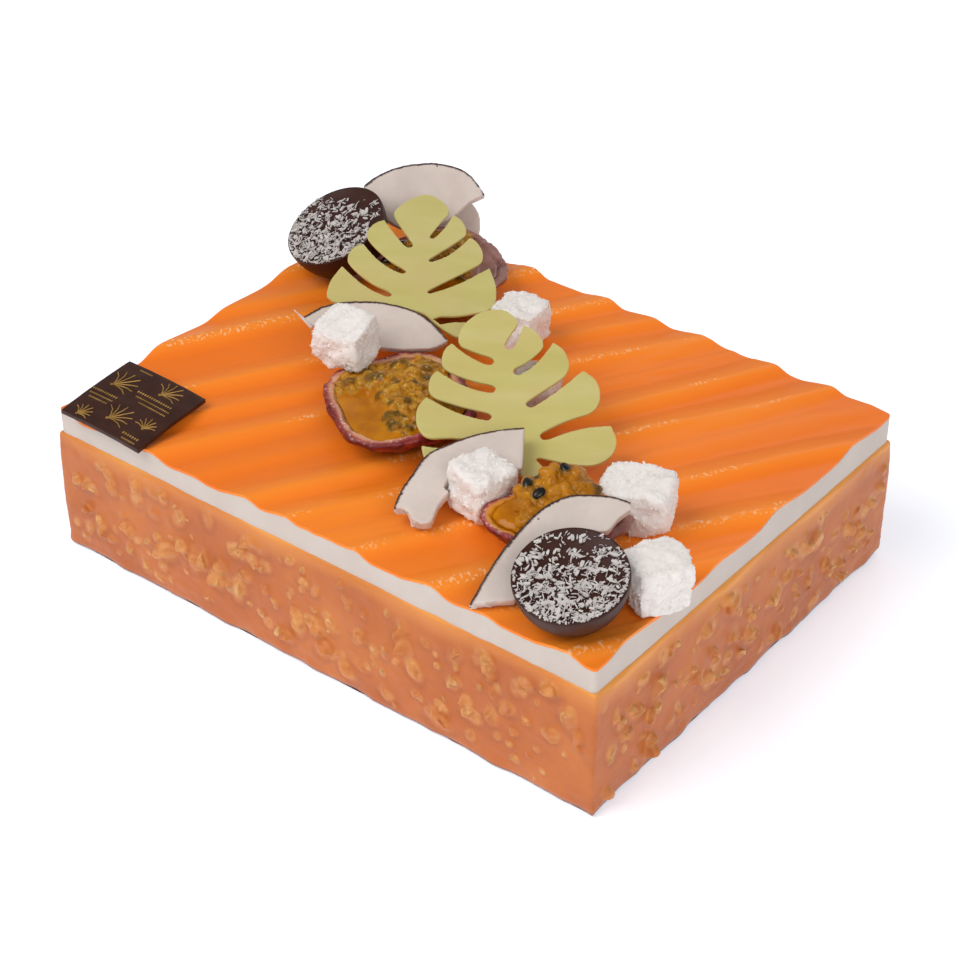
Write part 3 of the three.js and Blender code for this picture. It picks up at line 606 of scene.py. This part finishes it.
def nut_coated_block():
    draw = random.Random(41)
    bpy.ops.mesh.primitive_cube_add(size=1, location=(0, 0, COATING_TOP / 2))
    block = made("nut_coating", (LENGTH + 2 * COATING_PROUD, WIDTH + 2 * COATING_PROUD, COATING_TOP))
    with editing(block, lambda c, n: abs(n.z) < 0.5):
        bpy.ops.mesh.subdivide(number_cuts=3)
    bevelled(block, 1.4, 3)
    chips = chopped_nuts()
    places = nut_places(draw)
    nuts = [repeated(f"nuts_{k}", [chip], places[k::len(chips)], draw) for k, chip in enumerate(chips)]
    remeshed(joined(block, *nuts), COATING_GRAIN, 1)
    cast = points_of(block)
    displaced(block, (13, 1.2), (3, 0.35))
    modified(block, "SMOOTH", factor=0.4, iterations=1)
    points = points_of(block)
    points[:, 2] = np.clip(points[:, 2], 0, COATING_TOP)
    heights, shares = zip(*COATING_SECTION)
    share = np.interp(points[:, 2] / MM, heights, shares)
    foot = clipped(1 - points[:, 2] / FOOT_BAND)
    for axis, half in ((0, LENGTH / 2), (1, WIDTH / 2)):
        run = points[:, 1 - axis] / MM
        lumps = np.sin(run / 3.1) + np.sin(run / 5.3 + 2) + np.sin(run / 1.7 + 1) * 0.5
        beyond = np.abs(points[:, axis]) - half
        drawn_in = COATING_PROUD * (1 - share) * clipped(beyond / COATING_PROUD)
        wobbly = beyond - drawn_in + foot * (0.4 + 0.25 * lumps) * MM * (beyond > COATING_PROUD / 2)
        points[:, axis] = np.where(beyond > 0, np.sign(points[:, axis]) * (half + wobbly), points[:, axis])
    # The hidden top and the underside are levelled, and so are the first to give up triangles.
    hidden = (np.abs(cast[:, 0]) < LENGTH / 2 - 3 * MM) & (np.abs(cast[:, 1]) < WIDTH / 2 - 3 * MM)
    points[hidden, 2] = np.where(cast[hidden, 2] < COATING_TOP / 2, 0, COATING_TOP)
    move_points(block, points)
    bare_nuts(chips, places, cast, points - cast, draw)
    modified(block, "DECIMATE", ratio=COATING_TRIANGLES / (2 * len(block.data.polygons)))
    paint_nuts(block, places, draw)
    points = points_of(block)
    # A paler band is painted under the top edge, its lower bound wavy.
    wavy = (1.2 * np.sin(points[:, 0] / (9 * MM)) + np.sin(points[:, 1] / (7 * MM))) * MM
    paint(block, "rim", 0.95 * ((points[:, 2] - wavy - (COATING_TOP - RIM_BAND)) / RIM_BAND))
    # Painted contact shadow: the lowest 0.9 mm of the coating goes dark.
    paint(block, "foot", 1.5 - points[:, 2] / (0.6 * MM))
    return finished(block, nut_coating(), ["base"])


def bare_nuts(chips, places, cast, moved, draw):
    """The corners of nuts that the coating ran off, each moved as the coating round it was."""
    kinds = []
    for k, chip in enumerate(chips):
        shown = []
        for place in places[k::len(chips)]:
            if draw.random() > BARE_NUTS:
                continue
            near, _ = about(place, cast, 2 * MM)
            shift = moved[near].mean(axis=0) if len(near) else np.zeros(3)
            shown.append(Matrix.Translation(shift) @ place @ Matrix.Scale(draw.uniform(0.88, 1.0), 4))
        kinds.append(repeated(f"bare_nuts_{k}", [chip], shown, draw))
    bare = joined(*kinds)
    bare.name = "bare_nuts"
    discard(*chips)
    finished(bevelled(bare, 0.12, 1, 40), nut_kernel(), sharp=30)


def paint_nuts(block, places, draw):
    """Paints how much each nut shows through, and painted shade in a ring under each nut and along the foot.
    """
    points = points_of(block)
    shows = np.zeros(len(points))
    painted_shade = np.zeros(len(points))
    for place in places:
        tint = draw.uniform(0.15, 0.85)
        near, reach = about(place, points, 7 * MM)
        shows[near] = np.maximum(shows[near], tint * clipped((1.35 - reach) * 2.2))
        below = place.translation.z - points[near, 2]
        # Painted shade: a dark ring round and below each nut.
        ring = clipped(1 - np.abs(reach - 1.7) / 0.45) * clipped(below / (1.5 * MM))
        painted_shade[near] = np.maximum(painted_shade[near], 0.3 * ring)
    paint(block, "nut", shows)
    # Painted shade also darkens the lowest 1.4 mm above the foot.
    at_foot = 0.8 * (1.4 - points[:, 2] / MM)
    paint(block, "painted_shade", np.maximum(painted_shade - shows, at_foot))


GRID_ACROSS = 200
GRID_BACK = 152
CREST_REACH = 3  # cells of the grid
CREST_RISE = 1.0  # mm


def comb_sheet():
    """The combed top as one sheet: a grid laid on the glaze of the frame and rubbed smooth."""
    above = (0, 0, 0.1)
    cells = {"x_subdivisions": GRID_ACROSS, "y_subdivisions": GRID_BACK}
    bpy.ops.mesh.primitive_grid_add(size=1, location=above, **cells)
    inset = 0.05 * MM
    sheet = made("comb_sheet", (LENGTH - 2 * inset, WIDTH - 2 * inset, 1))
    # The four corners are rounded.
    points = points_of(sheet)
    middle = np.array([LENGTH / 2 - inset - CORNER_RADIUS, WIDTH / 2 - inset - CORNER_RADIUS])
    beyond = np.maximum(np.abs(points[:, :2]) - middle, 0)
    reach = np.linalg.norm(beyond, axis=1)
    at_corner = (beyond > 0).all(axis=1) & (reach > CORNER_RADIUS)
    pulled = middle + beyond * (CORNER_RADIUS / np.maximum(reach, 1e-9))[:, None]
    points[at_corner, :2] = (np.sign(points[:, :2]) * pulled)[at_corner]
    move_points(sheet, points)
    modified(
        sheet, "SHRINKWRAP", target=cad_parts["glaze"], wrap_method="PROJECT",
        use_project_z=True, use_positive_direction=False, use_negative_direction=True,
    )
    modified(sheet, "SMOOTH", factor=0.5, iterations=8, use_x=False, use_y=False)
    # The comb's teeth left fine lines, slowly uneven.
    points = points_of(sheet)
    x, y = points[:, 0] / MM, points[:, 1] / MM
    across = math.sin(COMB_ANGLE) * x - math.cos(COMB_ANGLE) * y
    along = math.cos(COMB_ANGLE) * x + math.sin(COMB_ANGLE) * y
    wander = 1.2 * np.sin(along / 19) + 0.5 * np.sin(along / 8.3 + 2)
    teeth = np.sin((across + wander) * math.tau / 3.4) * (0.5 + 0.5 * np.sin(across / 13 + along / 37))
    ripple = np.sin(across * 0.9 + np.sin(along / 6) * 1.5) * np.sin(along / 5.1 + across / 9)
    points[:, 2] += (0.05 * teeth + 0.05 * ripple) * MM
    move_points(sheet, points)
    return sheet


def mousse_and_glaze():
    glaze = comb_sheet()
    points = points_of(glaze)
    mousse = linked("coconut_mousse", glaze.data.copy())
    bottom = COATING_TOP - 1.2 * MM  # it stands in the coating's top, so that no gap shows
    lower = points_of(mousse)
    lower[:, 2] -= GLAZE
    move_points(mousse, lower)
    with editing(mousse):
        bpy.ops.mesh.extrude_region_move()
        bpy.ops.transform.resize(value=(1, 1, 0), center_override=(0, 0, bottom))
    with editing(mousse):
        bpy.ops.mesh.normals_make_consistent(inside=False)
    finished(mousse, white_mousse(), ["mousse"])

    glaze.name = "orange_glaze"
    # How deep the glaze pools: 0 on a crest, 1 in a trough.
    heights = points[:, 2] / MM
    plane = np.c_[points[:, :2] / MM, np.ones(len(points))]
    fit, *_ = np.linalg.lstsq(plane, heights, rcond=None)
    rise = heights - plane @ fit
    low, high = np.percentile(rise, (3, 97))
    paint(glaze, "pool", (high - rise) / (high - low))
    # A thin line along each crest, where glints are painted: what stands higher than the glaze a little
    # before and behind it.
    field = rise.reshape(GRID_BACK + 1, GRID_ACROSS + 1)
    behind, before = np.roll(field, CREST_REACH, axis=1), np.roll(field, -CREST_REACH, axis=1)
    paint(glaze, "crest", (2 * field - behind - before).ravel() / CREST_RISE * (rise > 0.5 * high))
    modified(glaze, "SOLIDIFY", thickness=GLAZE, offset=-1)
    finished(glaze, orange_glaze(), ["glaze"])


# --- Chocolate ---


def coconut_shreds():
    """Three shapes of shred, 1 long: a wide flake, a thin strip and a crumb."""
    shapes = []
    for k, (wide, thick, bend) in enumerate(((0.28, 0.08, 0.1), (0.17, 0.07, 0.2), (0.55, 0.2, 0.02))):
        bpy.ops.mesh.primitive_cube_add(size=1)
        shred = made(f"shred_{k}", (1, wide, thick))
        with editing(shred):
            bpy.ops.mesh.bisect(plane_co=(0, 0, 0), plane_no=(1, 0, 0))
        points = points_of(shred)
        taper = 1 - 0.5 * np.abs(points[:, 0] + 0.1) * 1.6
        points[:, 1] *= taper
        points[:, 2] += bend * (0.25 - points[:, 0] ** 2)
        move_points(shred, points)
        shapes.append(shred)
    return shapes


def half_ball(name, radius, place, finish):
    """A half ball of chocolate: a ball cut flat, its rim rounded."""
    bpy.ops.mesh.primitive_uv_sphere_add(segments=96, ring_count=48, radius=radius)
    ball = made(name)
    with editing(ball):
        bpy.ops.mesh.bisect(plane_co=(0, 0, 0.5 * MM), plane_no=(0, 0, 1), clear_outer=True, use_fill=True)
    with editing(ball, lambda c, n: n.z > 0.99):
        bpy.ops.mesh.inset(thickness=0.7 * MM)
        bpy.ops.mesh.inset(thickness=0.5 * MM)
        bpy.ops.transform.translate(value=(0, 0, -0.35 * MM))
    bevelled(ball, 0.35, 3, 35)
    ball.data.transform(place)
    return finished(ball, finish, [name.replace("half_ball", "chocolate_dome")])


def shreds_on(name, radius, place, covered, shapes, finish, seed):
    """Coconut shreds strewn on a half ball's flat side, by the share that each place keeps."""
    draw = random.Random(seed)
    places = []
    while len(places) < SHREDS_ON_HALF_BALL:
        reach = radius * math.sqrt(draw.random())
        angle = draw.uniform(0, math.tau)
        x, y = reach * math.cos(angle), reach * math.sin(angle)
        clump = 0.25 * (math.sin(x / MM * 1.3 + seed) + math.sin(y / MM * 1.1 - x / MM * 0.4))
        if draw.random() > covered(x / radius, y / radius) + clump:
            continue
        size = draw.choice((draw.uniform(1.1, 2.2), draw.uniform(0.6, 1.4), draw.uniform(0.3, 0.7))) * MM
        if reach + size / 2 > radius - 0.2 * MM:
            size = min(size, 1.1 * MM)
            x, y = (c * min(1, (radius - 0.75 * MM) / reach) for c in (x, y))
        lift = (0.2 + 0.7 * draw.random() ** 2) * MM
        tilt = tipped(draw.uniform(-0.5, 0.5), draw.uniform(-0.25, 0.25), draw.uniform(0, math.tau), "YXZ")
        spot = Matrix.Translation((x, y, lift + 0.2 * MM))
        places.append(place @ spot @ tilt @ Matrix.Scale(size, 4))
    return finished(repeated(name, shapes, places, draw), finish)


def chocolate_square(chocolate, gold):
    at, turn, pitch, roll = SQUARE
    place = placed(at, turn, pitch, roll)
    bpy.ops.mesh.primitive_cube_add(size=1)
    square = made("chocolate_square_plate", (SQUARE_SIDE, SQUARE_SIDE, SQUARE_THICK))
    with editing(square):
        bpy.ops.mesh.subdivide(number_cuts=15)
    bevelled(square, 0.2, 2, 40)
    displaced(square, (9, 0.25))

    def bowed(points):
        u, v = points[:, 0] / SQUARE_SIDE, points[:, 1] / SQUARE_SIDE
        points[:, 2] += 0.9 * MM * (1 - 2 * (u * u + v * v))
        return points

    move_points(square, bowed(points_of(square)))
    square.data.transform(place)
    finished(square, chocolate, ["chocolate_square"])

    strokes = []
    for palm in PALMS:
        strokes += palm_frond(*palm)
    strokes += [lozenge_row(*row) for row in LOZENGES]
    joined(*strokes)
    print_ = made("gold_palms")
    points = points_of(print_)
    edge = SQUARE_SIDE / 2 - 0.5 * MM
    points[:, :2] = np.clip(points[:, :2], -edge, edge)
    points[:, 2] += SQUARE_THICK / 2 + 0.04 * MM
    move_points(print_, bowed(points))
    print_.data.transform(place)
    return finished(print_, gold)


def stroke(place, start, middle, end, thick):
    """One thin raised line of gold, bent through its middle."""
    bpy.ops.curve.primitive_bezier_curve_add()
    line = made("stroke")
    first, last = line.data.splines[0].bezier_points
    for point, at in ((first, start), (last, end)):
        point.co = (*at, 0)
        point.handle_left = point.handle_right = (*middle, 0)
    line.data.bevel_depth = thick
    line.data.bevel_resolution = 1
    line.data.use_fill_caps = True
    line.data.resolution_u = 5
    line.matrix_world = place
    pick(line)
    bpy.ops.object.convert(target="MESH")
    return fixed(line)


def lozenge_row(x, y, length, tall):
    """A row of small flat lozenges, close together."""
    wide = 0.62 * tall
    bpy.ops.mesh.primitive_cylinder_add(vertices=4, radius=0.5 * MM, depth=0.08 * MM)
    row = made("lozenge", (wide, tall, 1))
    pitch = 1.25 * wide
    modified(
        row, "ARRAY", count=int(length / pitch), use_relative_offset=False, use_constant_offset=True,
        constant_offset_displace=(pitch * MM, 0, 0),
    )
    row.data.transform(Matrix.Translation((x * MM, y * MM, 0)))
    return row


def palm_frond(x, y, turn, size):
    """Seven bent strokes that spread from one foot, the middle ones longest."""
    place = placed((x, y, 0), turn)
    strokes = []
    for k in range(-3, 4):
        lean = math.radians(FROND_LEAN * k)
        reach = 1 - 0.07 * abs(k)
        middle = (0.6 * reach * math.cos(0.5 * lean), 0.6 * reach * math.sin(0.5 * lean))
        end = (reach * math.cos(lean), reach * math.sin(lean))
        strokes.append(stroke(place @ Matrix.Scale(size * MM, 4), (0, 0), middle, end, GOLD_LINE / size))
    return strokes


def chocolate_leaf(node, name, finish):
    """A leaf cut from a sheet of chocolate: its outline rounded between its points, then its edges rubbed."""
    place = placed(*LEAVES[node])
    flat = copied(node, "leaf_blank")
    flat.data.transform(place.inverted())
    with editing(flat, lambda c, n: n.z < 0.9):
        bpy.ops.mesh.delete(type="FACE")
    with editing(flat):
        bpy.ops.mesh.select_mode(type="EDGE")
        bpy.ops.mesh.region_to_loop()
        bpy.ops.mesh.select_all(action="INVERT")
        bpy.ops.mesh.delete(type="EDGE")
        bpy.ops.mesh.select_all(action="SELECT")
        bpy.ops.mesh.edge_face_add()
        bpy.ops.mesh.dissolve_limited(angle_limit=math.radians(1))
    top = max(flat.data.polygons, key=lambda f: f.area)
    corners = [flat.data.vertices[k].co.copy() for k in top.vertices]
    discard(flat)
    for _ in range(3):
        corners = eased(corners)
    bpy.ops.mesh.primitive_circle_add(vertices=len(corners), radius=1, fill_type="NGON")
    leaf = made(name)
    move_points(leaf, np.array([tuple(c) for c in corners]))
    down = -1 if leaf.data.polygons[0].normal.z > 0 else 1
    modified(leaf, "SOLIDIFY", thickness=LEAF_THICK, offset=down)
    remeshed(leaf, 0.25, 2)
    leaf.data.transform(place)
    displaced(leaf, (16, 0.5), (2.5, 0.06))
    return finished(leaf, finish, [node])


def eased(corners):
    """An outline with each blunt corner cut off; the sharp ones stay."""
    round_ = []
    for k, here in enumerate(corners):
        before, after = corners[k - 1], corners[(k + 1) % len(corners)]
        if (here - before).angle(after - here) < BLUNT:
            round_ += [here.lerp(before, 0.25), here.lerp(after, 0.25)]
        else:
            round_.append(here)
    return round_


# --- Coconut ---


def coconut_slice(node, finish):
    at, pitch = SLICES[node]
    place = placed(at, DIAGONAL, pitch)
    piece = copied(node, node.replace("coconut_slice", "coconut_flesh"))
    remeshed(piece, 0.36, 2)
    displaced(piece, (7, 0.5), (1.2, 0.12))
    points = points_of(piece)
    if node in TORN_FROM:
        local = own_frame(points, place)
        end_faces = np.array((-0.45, -0.89, 0))  # the way that a torn end faces
        end_face = clipped((own_normals(piece, place) @ end_faces - 0.7) * 5)
        torn = end_face * clipped((TORN_FROM[node] - local[:, 0]) / 2)
        run = local[:, 0] + 0.6 * local[:, 2]
        teeth = np.sin(run * 2.3) * np.sin(run * 0.9 + 1) + 0.6 * np.sin(run * 4.9 + 2)
        local += (0.5 * teeth * torn)[:, None] * end_faces
        points = carried(local * MM, place)
        move_points(piece, points)
    facing = own_normals(piece, place)
    outer = np.flatnonzero((facing[:, 1] > 0.55) | (facing[:, 1] > 0.15) & (facing[:, 0] < -0.2))
    tree = KDTree(len(outer))
    for k, spot in enumerate(outer):
        tree.insert(points[spot], k)
    tree.balance()
    away = np.array([tree.find(point)[2] for point in points]) / MM
    paint(piece, "skin", (SKIN_THICK - away) * 4 * (node != PEELED))
    return finished(piece, finish, [node])


def coconut_sliver(finish):
    """The thin splinter that stands off the left slice's torn end."""
    at, pitch = SLICES["coconut_slice_left"]
    foot, tip = Vector((-22.4, -0.6, -0.8)) * MM, Vector((-27.7, 4.4, 0.2)) * MM
    ends = {"radius1": 0.75 * MM, "radius2": 0.12 * MM}
    bpy.ops.mesh.primitive_cone_add(vertices=8, depth=(tip - foot).length, **ends)
    sliver = made("coconut_sliver")
    with editing(sliver, lambda c, n: abs(n.z) < 0.7):
        bpy.ops.mesh.subdivide(number_cuts=4)
    middle = Matrix.Translation((foot + tip) / 2)
    sliver.data.transform(placed(at, DIAGONAL, pitch) @ middle @ upright(tip - foot))
    displaced(sliver, (2, 0.5))
    finished(sliver, finish)


def coconut_block(side, finish, shred_finish, shapes, seed):
    """A cube rolled in grated coconut: its worn woolly body, and fine shreds lying on it."""
    node = f"coconut_cube_{side}"
    draw = random.Random(seed)
    body = copied(node, f"coconut_block_{side}")
    remeshed(body, 0.5, 6)
    displaced(body, (7, 2.4), (2.4, 1.0), (0.9, 0.5))
    faces = body.data.polygons
    places = []
    for _ in range(SHREDS_ON_CUBE):
        face = faces[draw.randrange(len(faces))]
        steep = draw.choice((0.15, 0.25, 1.1))
        tilt = tipped(0, draw.uniform(-steep, steep), draw.uniform(0, math.tau), "YXZ")
        size = draw.uniform(0.4, 1.15) * MM
        spot = Matrix.Translation(face.center + face.normal * draw.uniform(-0.12, 0.02) * MM)
        places.append(spot @ upright(face.normal) @ tilt @ Matrix.Scale(size, 4))
    shreds = repeated(f"{node}_shreds", shapes, places, draw)
    finished(shreds, shred_finish)
    return finished(body, finish, [node])


# --- Passion fruit ---


def nowhere(x, *others):
    return 0 * x


# Each half's form: half length and half width, squareness and its angle, rind and place. Its pulp: the
# juice's level, how many sacs, how far they stand out, their sizes, how rough and murky they are, where
# seeds show, how many of those lie bare, and what share of the sacs a seed inside darkens. Then, by
# place: where the pulp gives way to level juice, and where the cut rind is flushed with pink, stands
# bare or is soaked with juice. Lengths are in mm.
FRUITS = {
    "middle": {
        "reach": (21.5, 24.5), "square": (0.07, 155), "rind": 3.4, "place": ((-12.1, -18.5, 57.6), DIAGONAL),
        "level": -0.7, "sacs": 120, "proud": 0.1, "sac_size": (1.4, 2.2), "rough": 0.7, "murk": 1,
        "seeds": ((-13, 14.3), (-7.3, 8.9), (-5.2, -1.7), (-0.5, -10.9), (4, 3), (8, 13), (1, 14)),
        "bare_seeds": 1, "darkened": 0.25,
        "calm": lambda x, y: clipped((-5 - 0.3 * y - x) / 3) * clipped((6 - y) / 5),
        "blush": lambda x, y, inward: clipped((x - 1) / 8) * clipped(-y / 8),
        "wall": nowhere, "soaked": nowhere,
    },
    "front": {
        "reach": (19.5, 12.5), "square": (0.05, 0), "rind": 3, "place": ((56.8, -36.5, 57.5), DIAGONAL, 8),
        "level": 0.8, "sacs": 70, "proud": 0.8, "sac_size": (1.9, 2.8), "rough": 0.25, "murk": 0.4,
        "seeds": ((2, 6.3), (-7.7, 3.6), (-4.9, 1.4)), "bare_seeds": 3, "darkened": 0.06,
        "calm": lambda x, y: clipped((-8.5 - x) / 3),
        "blush": lambda x, y, inward: clipped((-8 - x) / 5) * clipped(1.6 - inward * 2.6),
        "wall": lambda x, y: clipped((x - 12.5) / 2),
        "soaked": lambda x, inward: clipped(inward * 2.4 - 1) * clipped((-5 - x) / 3),
    },
    "back": {
        "reach": (20.5, 24), "square": (0.05, -15), "rind": 3.2, "place": ((-49, 45.7, 59.4), DIAGONAL),
        "level": -0.7, "sacs": 60, "proud": 0.3, "sac_size": (1.6, 2.4), "rough": 0.5, "murk": 1,
        "seeds": ((-12.4, 12.2), (-16.3, 0.1), (-6, -4), (1.3, -8.6), (3, 6), (8, -2)),
        "bare_seeds": 2, "darkened": 0.3,
        "calm": lambda x, y: np.maximum(clipped((-12 - y) / 4), clipped((x - 7) / 4)),
        "blush": lambda x, y, inward: np.maximum(clipped(-(x + y) / 20), clipped((x - 9) / 4)),
        "wall": lambda x, y: clipped((x - 8) / 3), "soaked": nowhere,
    },
}
SAC_SPACING = 1.8  # mm


def within_rim(fruit, points, inset):
    """How far inside the rim's inner edge each point lies, in mm, less an inset."""
    amount, corner = fruit["square"]
    rx, ry = fruit["reach"]
    angle = np.arctan2(points[:, 1] / ry, points[:, 0] / rx)
    grow = 1 + amount * np.cos(4 * (angle - math.radians(corner)))
    edge = np.hypot((rx * grow - inset) * np.cos(angle), (ry * grow - inset) * np.sin(angle))
    return edge - np.hypot(points[:, 0], points[:, 1])


def rind_bowl(key, finish):
    fruit = FRUITS[key]
    node = f"passion_fruit_{key}_rind"
    place = placed(*fruit["place"])
    bowl = copied(node, f"fruit_rind_{key}")
    remeshed(bowl, 0.42, 2)
    displaced(bowl, (8, 2.0), (2.2, 0.7))
    local = own_frame(points_of(bowl), place)
    facing = own_normals(bowl, place)
    inward = within_rim(fruit, local, 0) / fruit["rind"]
    paint(bowl, "pith", inward)
    within = clipped((inward - 0.12) * 4)
    paint(bowl, "rim", np.maximum(clipped(local[:, 2] + 1), clipped(facing[:, 2] * 1.5 - 0.3)) * within)
    paint(bowl, "blush", fruit["blush"](local[:, 0], local[:, 1], inward))
    paint(bowl, "wall", fruit["wall"](local[:, 0], local[:, 1]))
    paint(bowl, "soaked", fruit["soaked"](local[:, 0], inward))
    return finished(bowl, finish, [node])


def sac_spots(fruit, local, facing, draw):
    """Where the sacs sit on the juice and pulp: the listed seeds first, then spread well apart."""
    calm = fruit["calm"](local[:, 0], local[:, 1])
    free = (facing[:, 2] > 0.3) & (calm < 0.5) & (within_rim(fruit, local, fruit["rind"]) > 1.2)
    free = np.flatnonzero(free)
    spots = []
    for x, y in fruit["seeds"]:
        spots.append(free[np.argmin(np.hypot(local[free, 0] - x, local[free, 1] - y))])
    order = list(free)
    draw.shuffle(order)
    for k in order:
        if len(spots) == fruit["sacs"]:
            break
        if np.linalg.norm(local[spots] - local[k], axis=1).min() > SAC_SPACING:
            spots.append(k)
    return spots


def pulp_heap(key, finish, seed_finish, seed):
    """Juice with sacs of pulp heaped in it: one wet lumpy mass, level where the juice has run clear."""
    fruit = FRUITS[key]
    place = placed(*fruit["place"])
    draw = random.Random(seed)
    node = f"passion_fruit_{key}_pulp"
    heap = copied(node, f"fruit_pulp_{key}")
    remeshed(heap, 0.6, 6)
    local = own_frame(points_of(heap), place)
    calm = fruit["calm"](local[:, 0], local[:, 1])
    above = local[:, 2] > fruit["level"]
    local[:, 2] = np.where(above, fruit["level"] + (local[:, 2] - fruit["level"]) * (1 - calm), local[:, 2])
    local[:, :2] *= 1.035  # it wets the pith, and leaves no gap
    move_points(heap, carried(local * MM, place))

    bpy.ops.mesh.primitive_uv_sphere_add(segments=16, ring_count=10, radius=1)
    sac = made("sac", (1, 0.68, 0.62))
    points = points_of(sac)
    points[:, 1:] *= 1 - 0.28 * points[:, 0:1]
    move_points(sac, points)
    bpy.ops.mesh.primitive_uv_sphere_add(segments=14, ring_count=8, radius=1)
    pip = made("pip", (1, 0.66, 0.42))

    facing = own_normals(heap, place)
    spots = sac_spots(fruit, local, facing, draw)
    sacs, pips, cores = [], [], []
    for k, spot in enumerate(spots):
        size = draw.uniform(*fruit["sac_size"])
        lie = upright(facing[spot]) @ tipped(0, draw.uniform(-0.4, 0.4), draw.uniform(0, math.tau))
        at = Vector(local[spot]) + Vector(facing[spot]) * draw.uniform(-0.7, fruit["proud"])
        sacs.append(place @ Matrix.Translation(at * MM) @ lie @ Matrix.Scale(size * MM, 4))
        if k < fruit["bare_seeds"]:
            out = at + Vector(facing[spot]) * 0.32 * size
            big = Matrix.Scale(draw.uniform(2, 2.5) * MM, 4)
            pips.append(place @ Matrix.Translation(out * MM) @ lie @ big)
        elif k < len(fruit["seeds"]) or draw.random() < fruit["darkened"]:
            cores.append(sacs[-1])
    remeshed(joined(heap, repeated("sacs", [sac], sacs, draw)), 0.34, 2)
    rough = points_of(heap)
    displaced(heap, (1.5, fruit["rough"]))
    moved = points_of(heap)
    level = fruit["calm"](*own_frame(rough, place)[:, :2].T)[:, None]
    move_points(heap, moved + (rough - moved) * level)
    paint_pulp(heap, sacs, cores + pips, fruit["murk"])
    paint(heap, "wall", fruit["wall"](*own_frame(points_of(heap), place)[:, :2].T))
    finished(heap, finish, [node])
    finished(repeated(f"fruit_seeds_{key}", [pip], pips, draw), seed_finish)
    discard(sac, pip)


def paint_pulp(heap, sacs, dark, murk):
    """Paints how near each point is to a sac, and to a seed that darkens the pulp round it."""
    points = points_of(heap)
    for name, places, reach, most in (("sac", sacs, 1.35, murk), ("seed", dark, 1.25, 0.85)):
        shows = np.zeros(len(points))
        for place in places:
            near, away = about(place, points, 5 * MM)
            shows[near] = np.maximum(shows[near], clipped((reach - away) * 1.4))
        paint(heap, name, most * shows)


# --- Assembly ---

nut_coated_block()
mousse_and_glaze()

tempered = dark_chocolate("dark_chocolate_moulded", "#371a13", "#43261d")
chocolate_square(dark_chocolate("dark_chocolate_plate", "#361b13", "#44271e"), gold_leaf())
shred_shapes = coconut_shreds()
strewn = grated_coconut("desiccated_coconut_strewn", "#bfb7b2", "#d1cbc7")
rolled = grated_coconut("desiccated_coconut_rolled", "#e9e1db", "#efe8e3", glow=0.4)
flaked = grated_coconut("desiccated_coconut_flaked", "#ece5df", "#f3ede9")


def covered_front(x, y):
    """The share of shreds that a place on the front half ball keeps: fewer at the upper left."""
    return 0.52 - 0.5 * y + 0.12 * x


def covered_back(x, y):
    """The share that a place on the back half ball keeps: a bare band along the upper left."""
    return 0.55 - 0.6 * y + 0.12 * x if y - 0.5 * x < 0.78 else -1


for node, (radius, at, turn, pitch) in DOMES.items():
    place = placed(at, turn, pitch)
    name = node.replace("chocolate_dome", "half_ball")
    half_ball(name, radius * MM, place, tempered)
    covered, seed = (covered_front, 71) if node.endswith("front") else (covered_back, 72)
    shreds_on(f"{name}_shreds", radius * MM, place, covered, shred_shapes, strewn, seed)

leaf_finish = green_chocolate()
for side in ("back", "front"):
    chocolate_leaf(f"leaf_{side}", f"chocolate_leaf_{side}", leaf_finish)

flesh = coconut_flesh()
for node in SLICES:
    coconut_slice(node, flesh)
coconut_sliver(flesh)
for k, side in enumerate(CUBES):
    coconut_block(side, rolled, flaked, shred_shapes, 81 + k)
discard(*shred_shapes)

rind, pulp, seed_finish = fruit_rind(), fruit_pulp(), seeds()
for k, key in enumerate(FRUITS):
    rind_bowl(key, rind)
    pulp_heap(key, pulp, seed_finish, 91 + k)

# --- Floor, light and camera ---

CAMERA_AT = Vector((333.47, -419.33, 394.96)) * MM
CAMERA_LOOKS_AT = Vector((2.01, 0.37, 25)) * MM


def floor():
    bpy.ops.mesh.primitive_plane_add(size=6, location=(0, 0, -0.2 * MM))
    plane = fixed(made("floor"))
    material, tree = blank("white_studio_paper")
    colour = mottled(tree, 400, (0.3, "#f6f6f7"), (0.7, "#f8f8f8"), detail=1)
    surfaced(tree, colour, 0.9, **{"Emission Color": "#e6efff", "Emission Strength": 0.4})
    plane.data.materials.append(material)


def softbox(name, at, target, size, power):
    light = bpy.data.lights.new(name, "AREA")
    light.shape = "RECTANGLE"
    light.size, light.size_y = size
    light.energy = power
    lamp = linked(name, light)
    lamp.location = at
    lamp.rotation_euler = (Vector(target) - Vector(at)).to_track_quat("-Z", "Y").to_euler()


floor()
softbox("key", (-0.4, -0.8, 1.1), (0, 0, 0.03), (0.9, 0.9), 10.5)
softbox("fill", (1.0, -0.6, 0.8), (0, 0, 0.03), (1.0, 0.8), 6.5)
softbox("back", (-0.1, 1.2, 0.9), (0, 0, 0.05), (1.2, 0.5), 2.5)

world = bpy.data.worlds.new("studio")
world.use_nodes = True
world.node_tree.nodes["Background"].inputs["Color"].default_value = (1, 1, 1, 1)
world.node_tree.nodes["Background"].inputs["Strength"].default_value = 0.34
bpy.context.scene.world = world
bpy.context.scene.view_settings.view_transform = "Standard"

lens = bpy.data.cameras.new("photo_camera")
lens.lens = 83.71
lens.sensor_width = 36
lens.clip_start = 0.01
camera = linked("photo_camera", lens)
camera.location = CAMERA_AT
camera.rotation_euler = (CAMERA_LOOKS_AT - CAMERA_AT).to_track_quat("-Z", "Y").to_euler()
bpy.context.scene.camera = camera
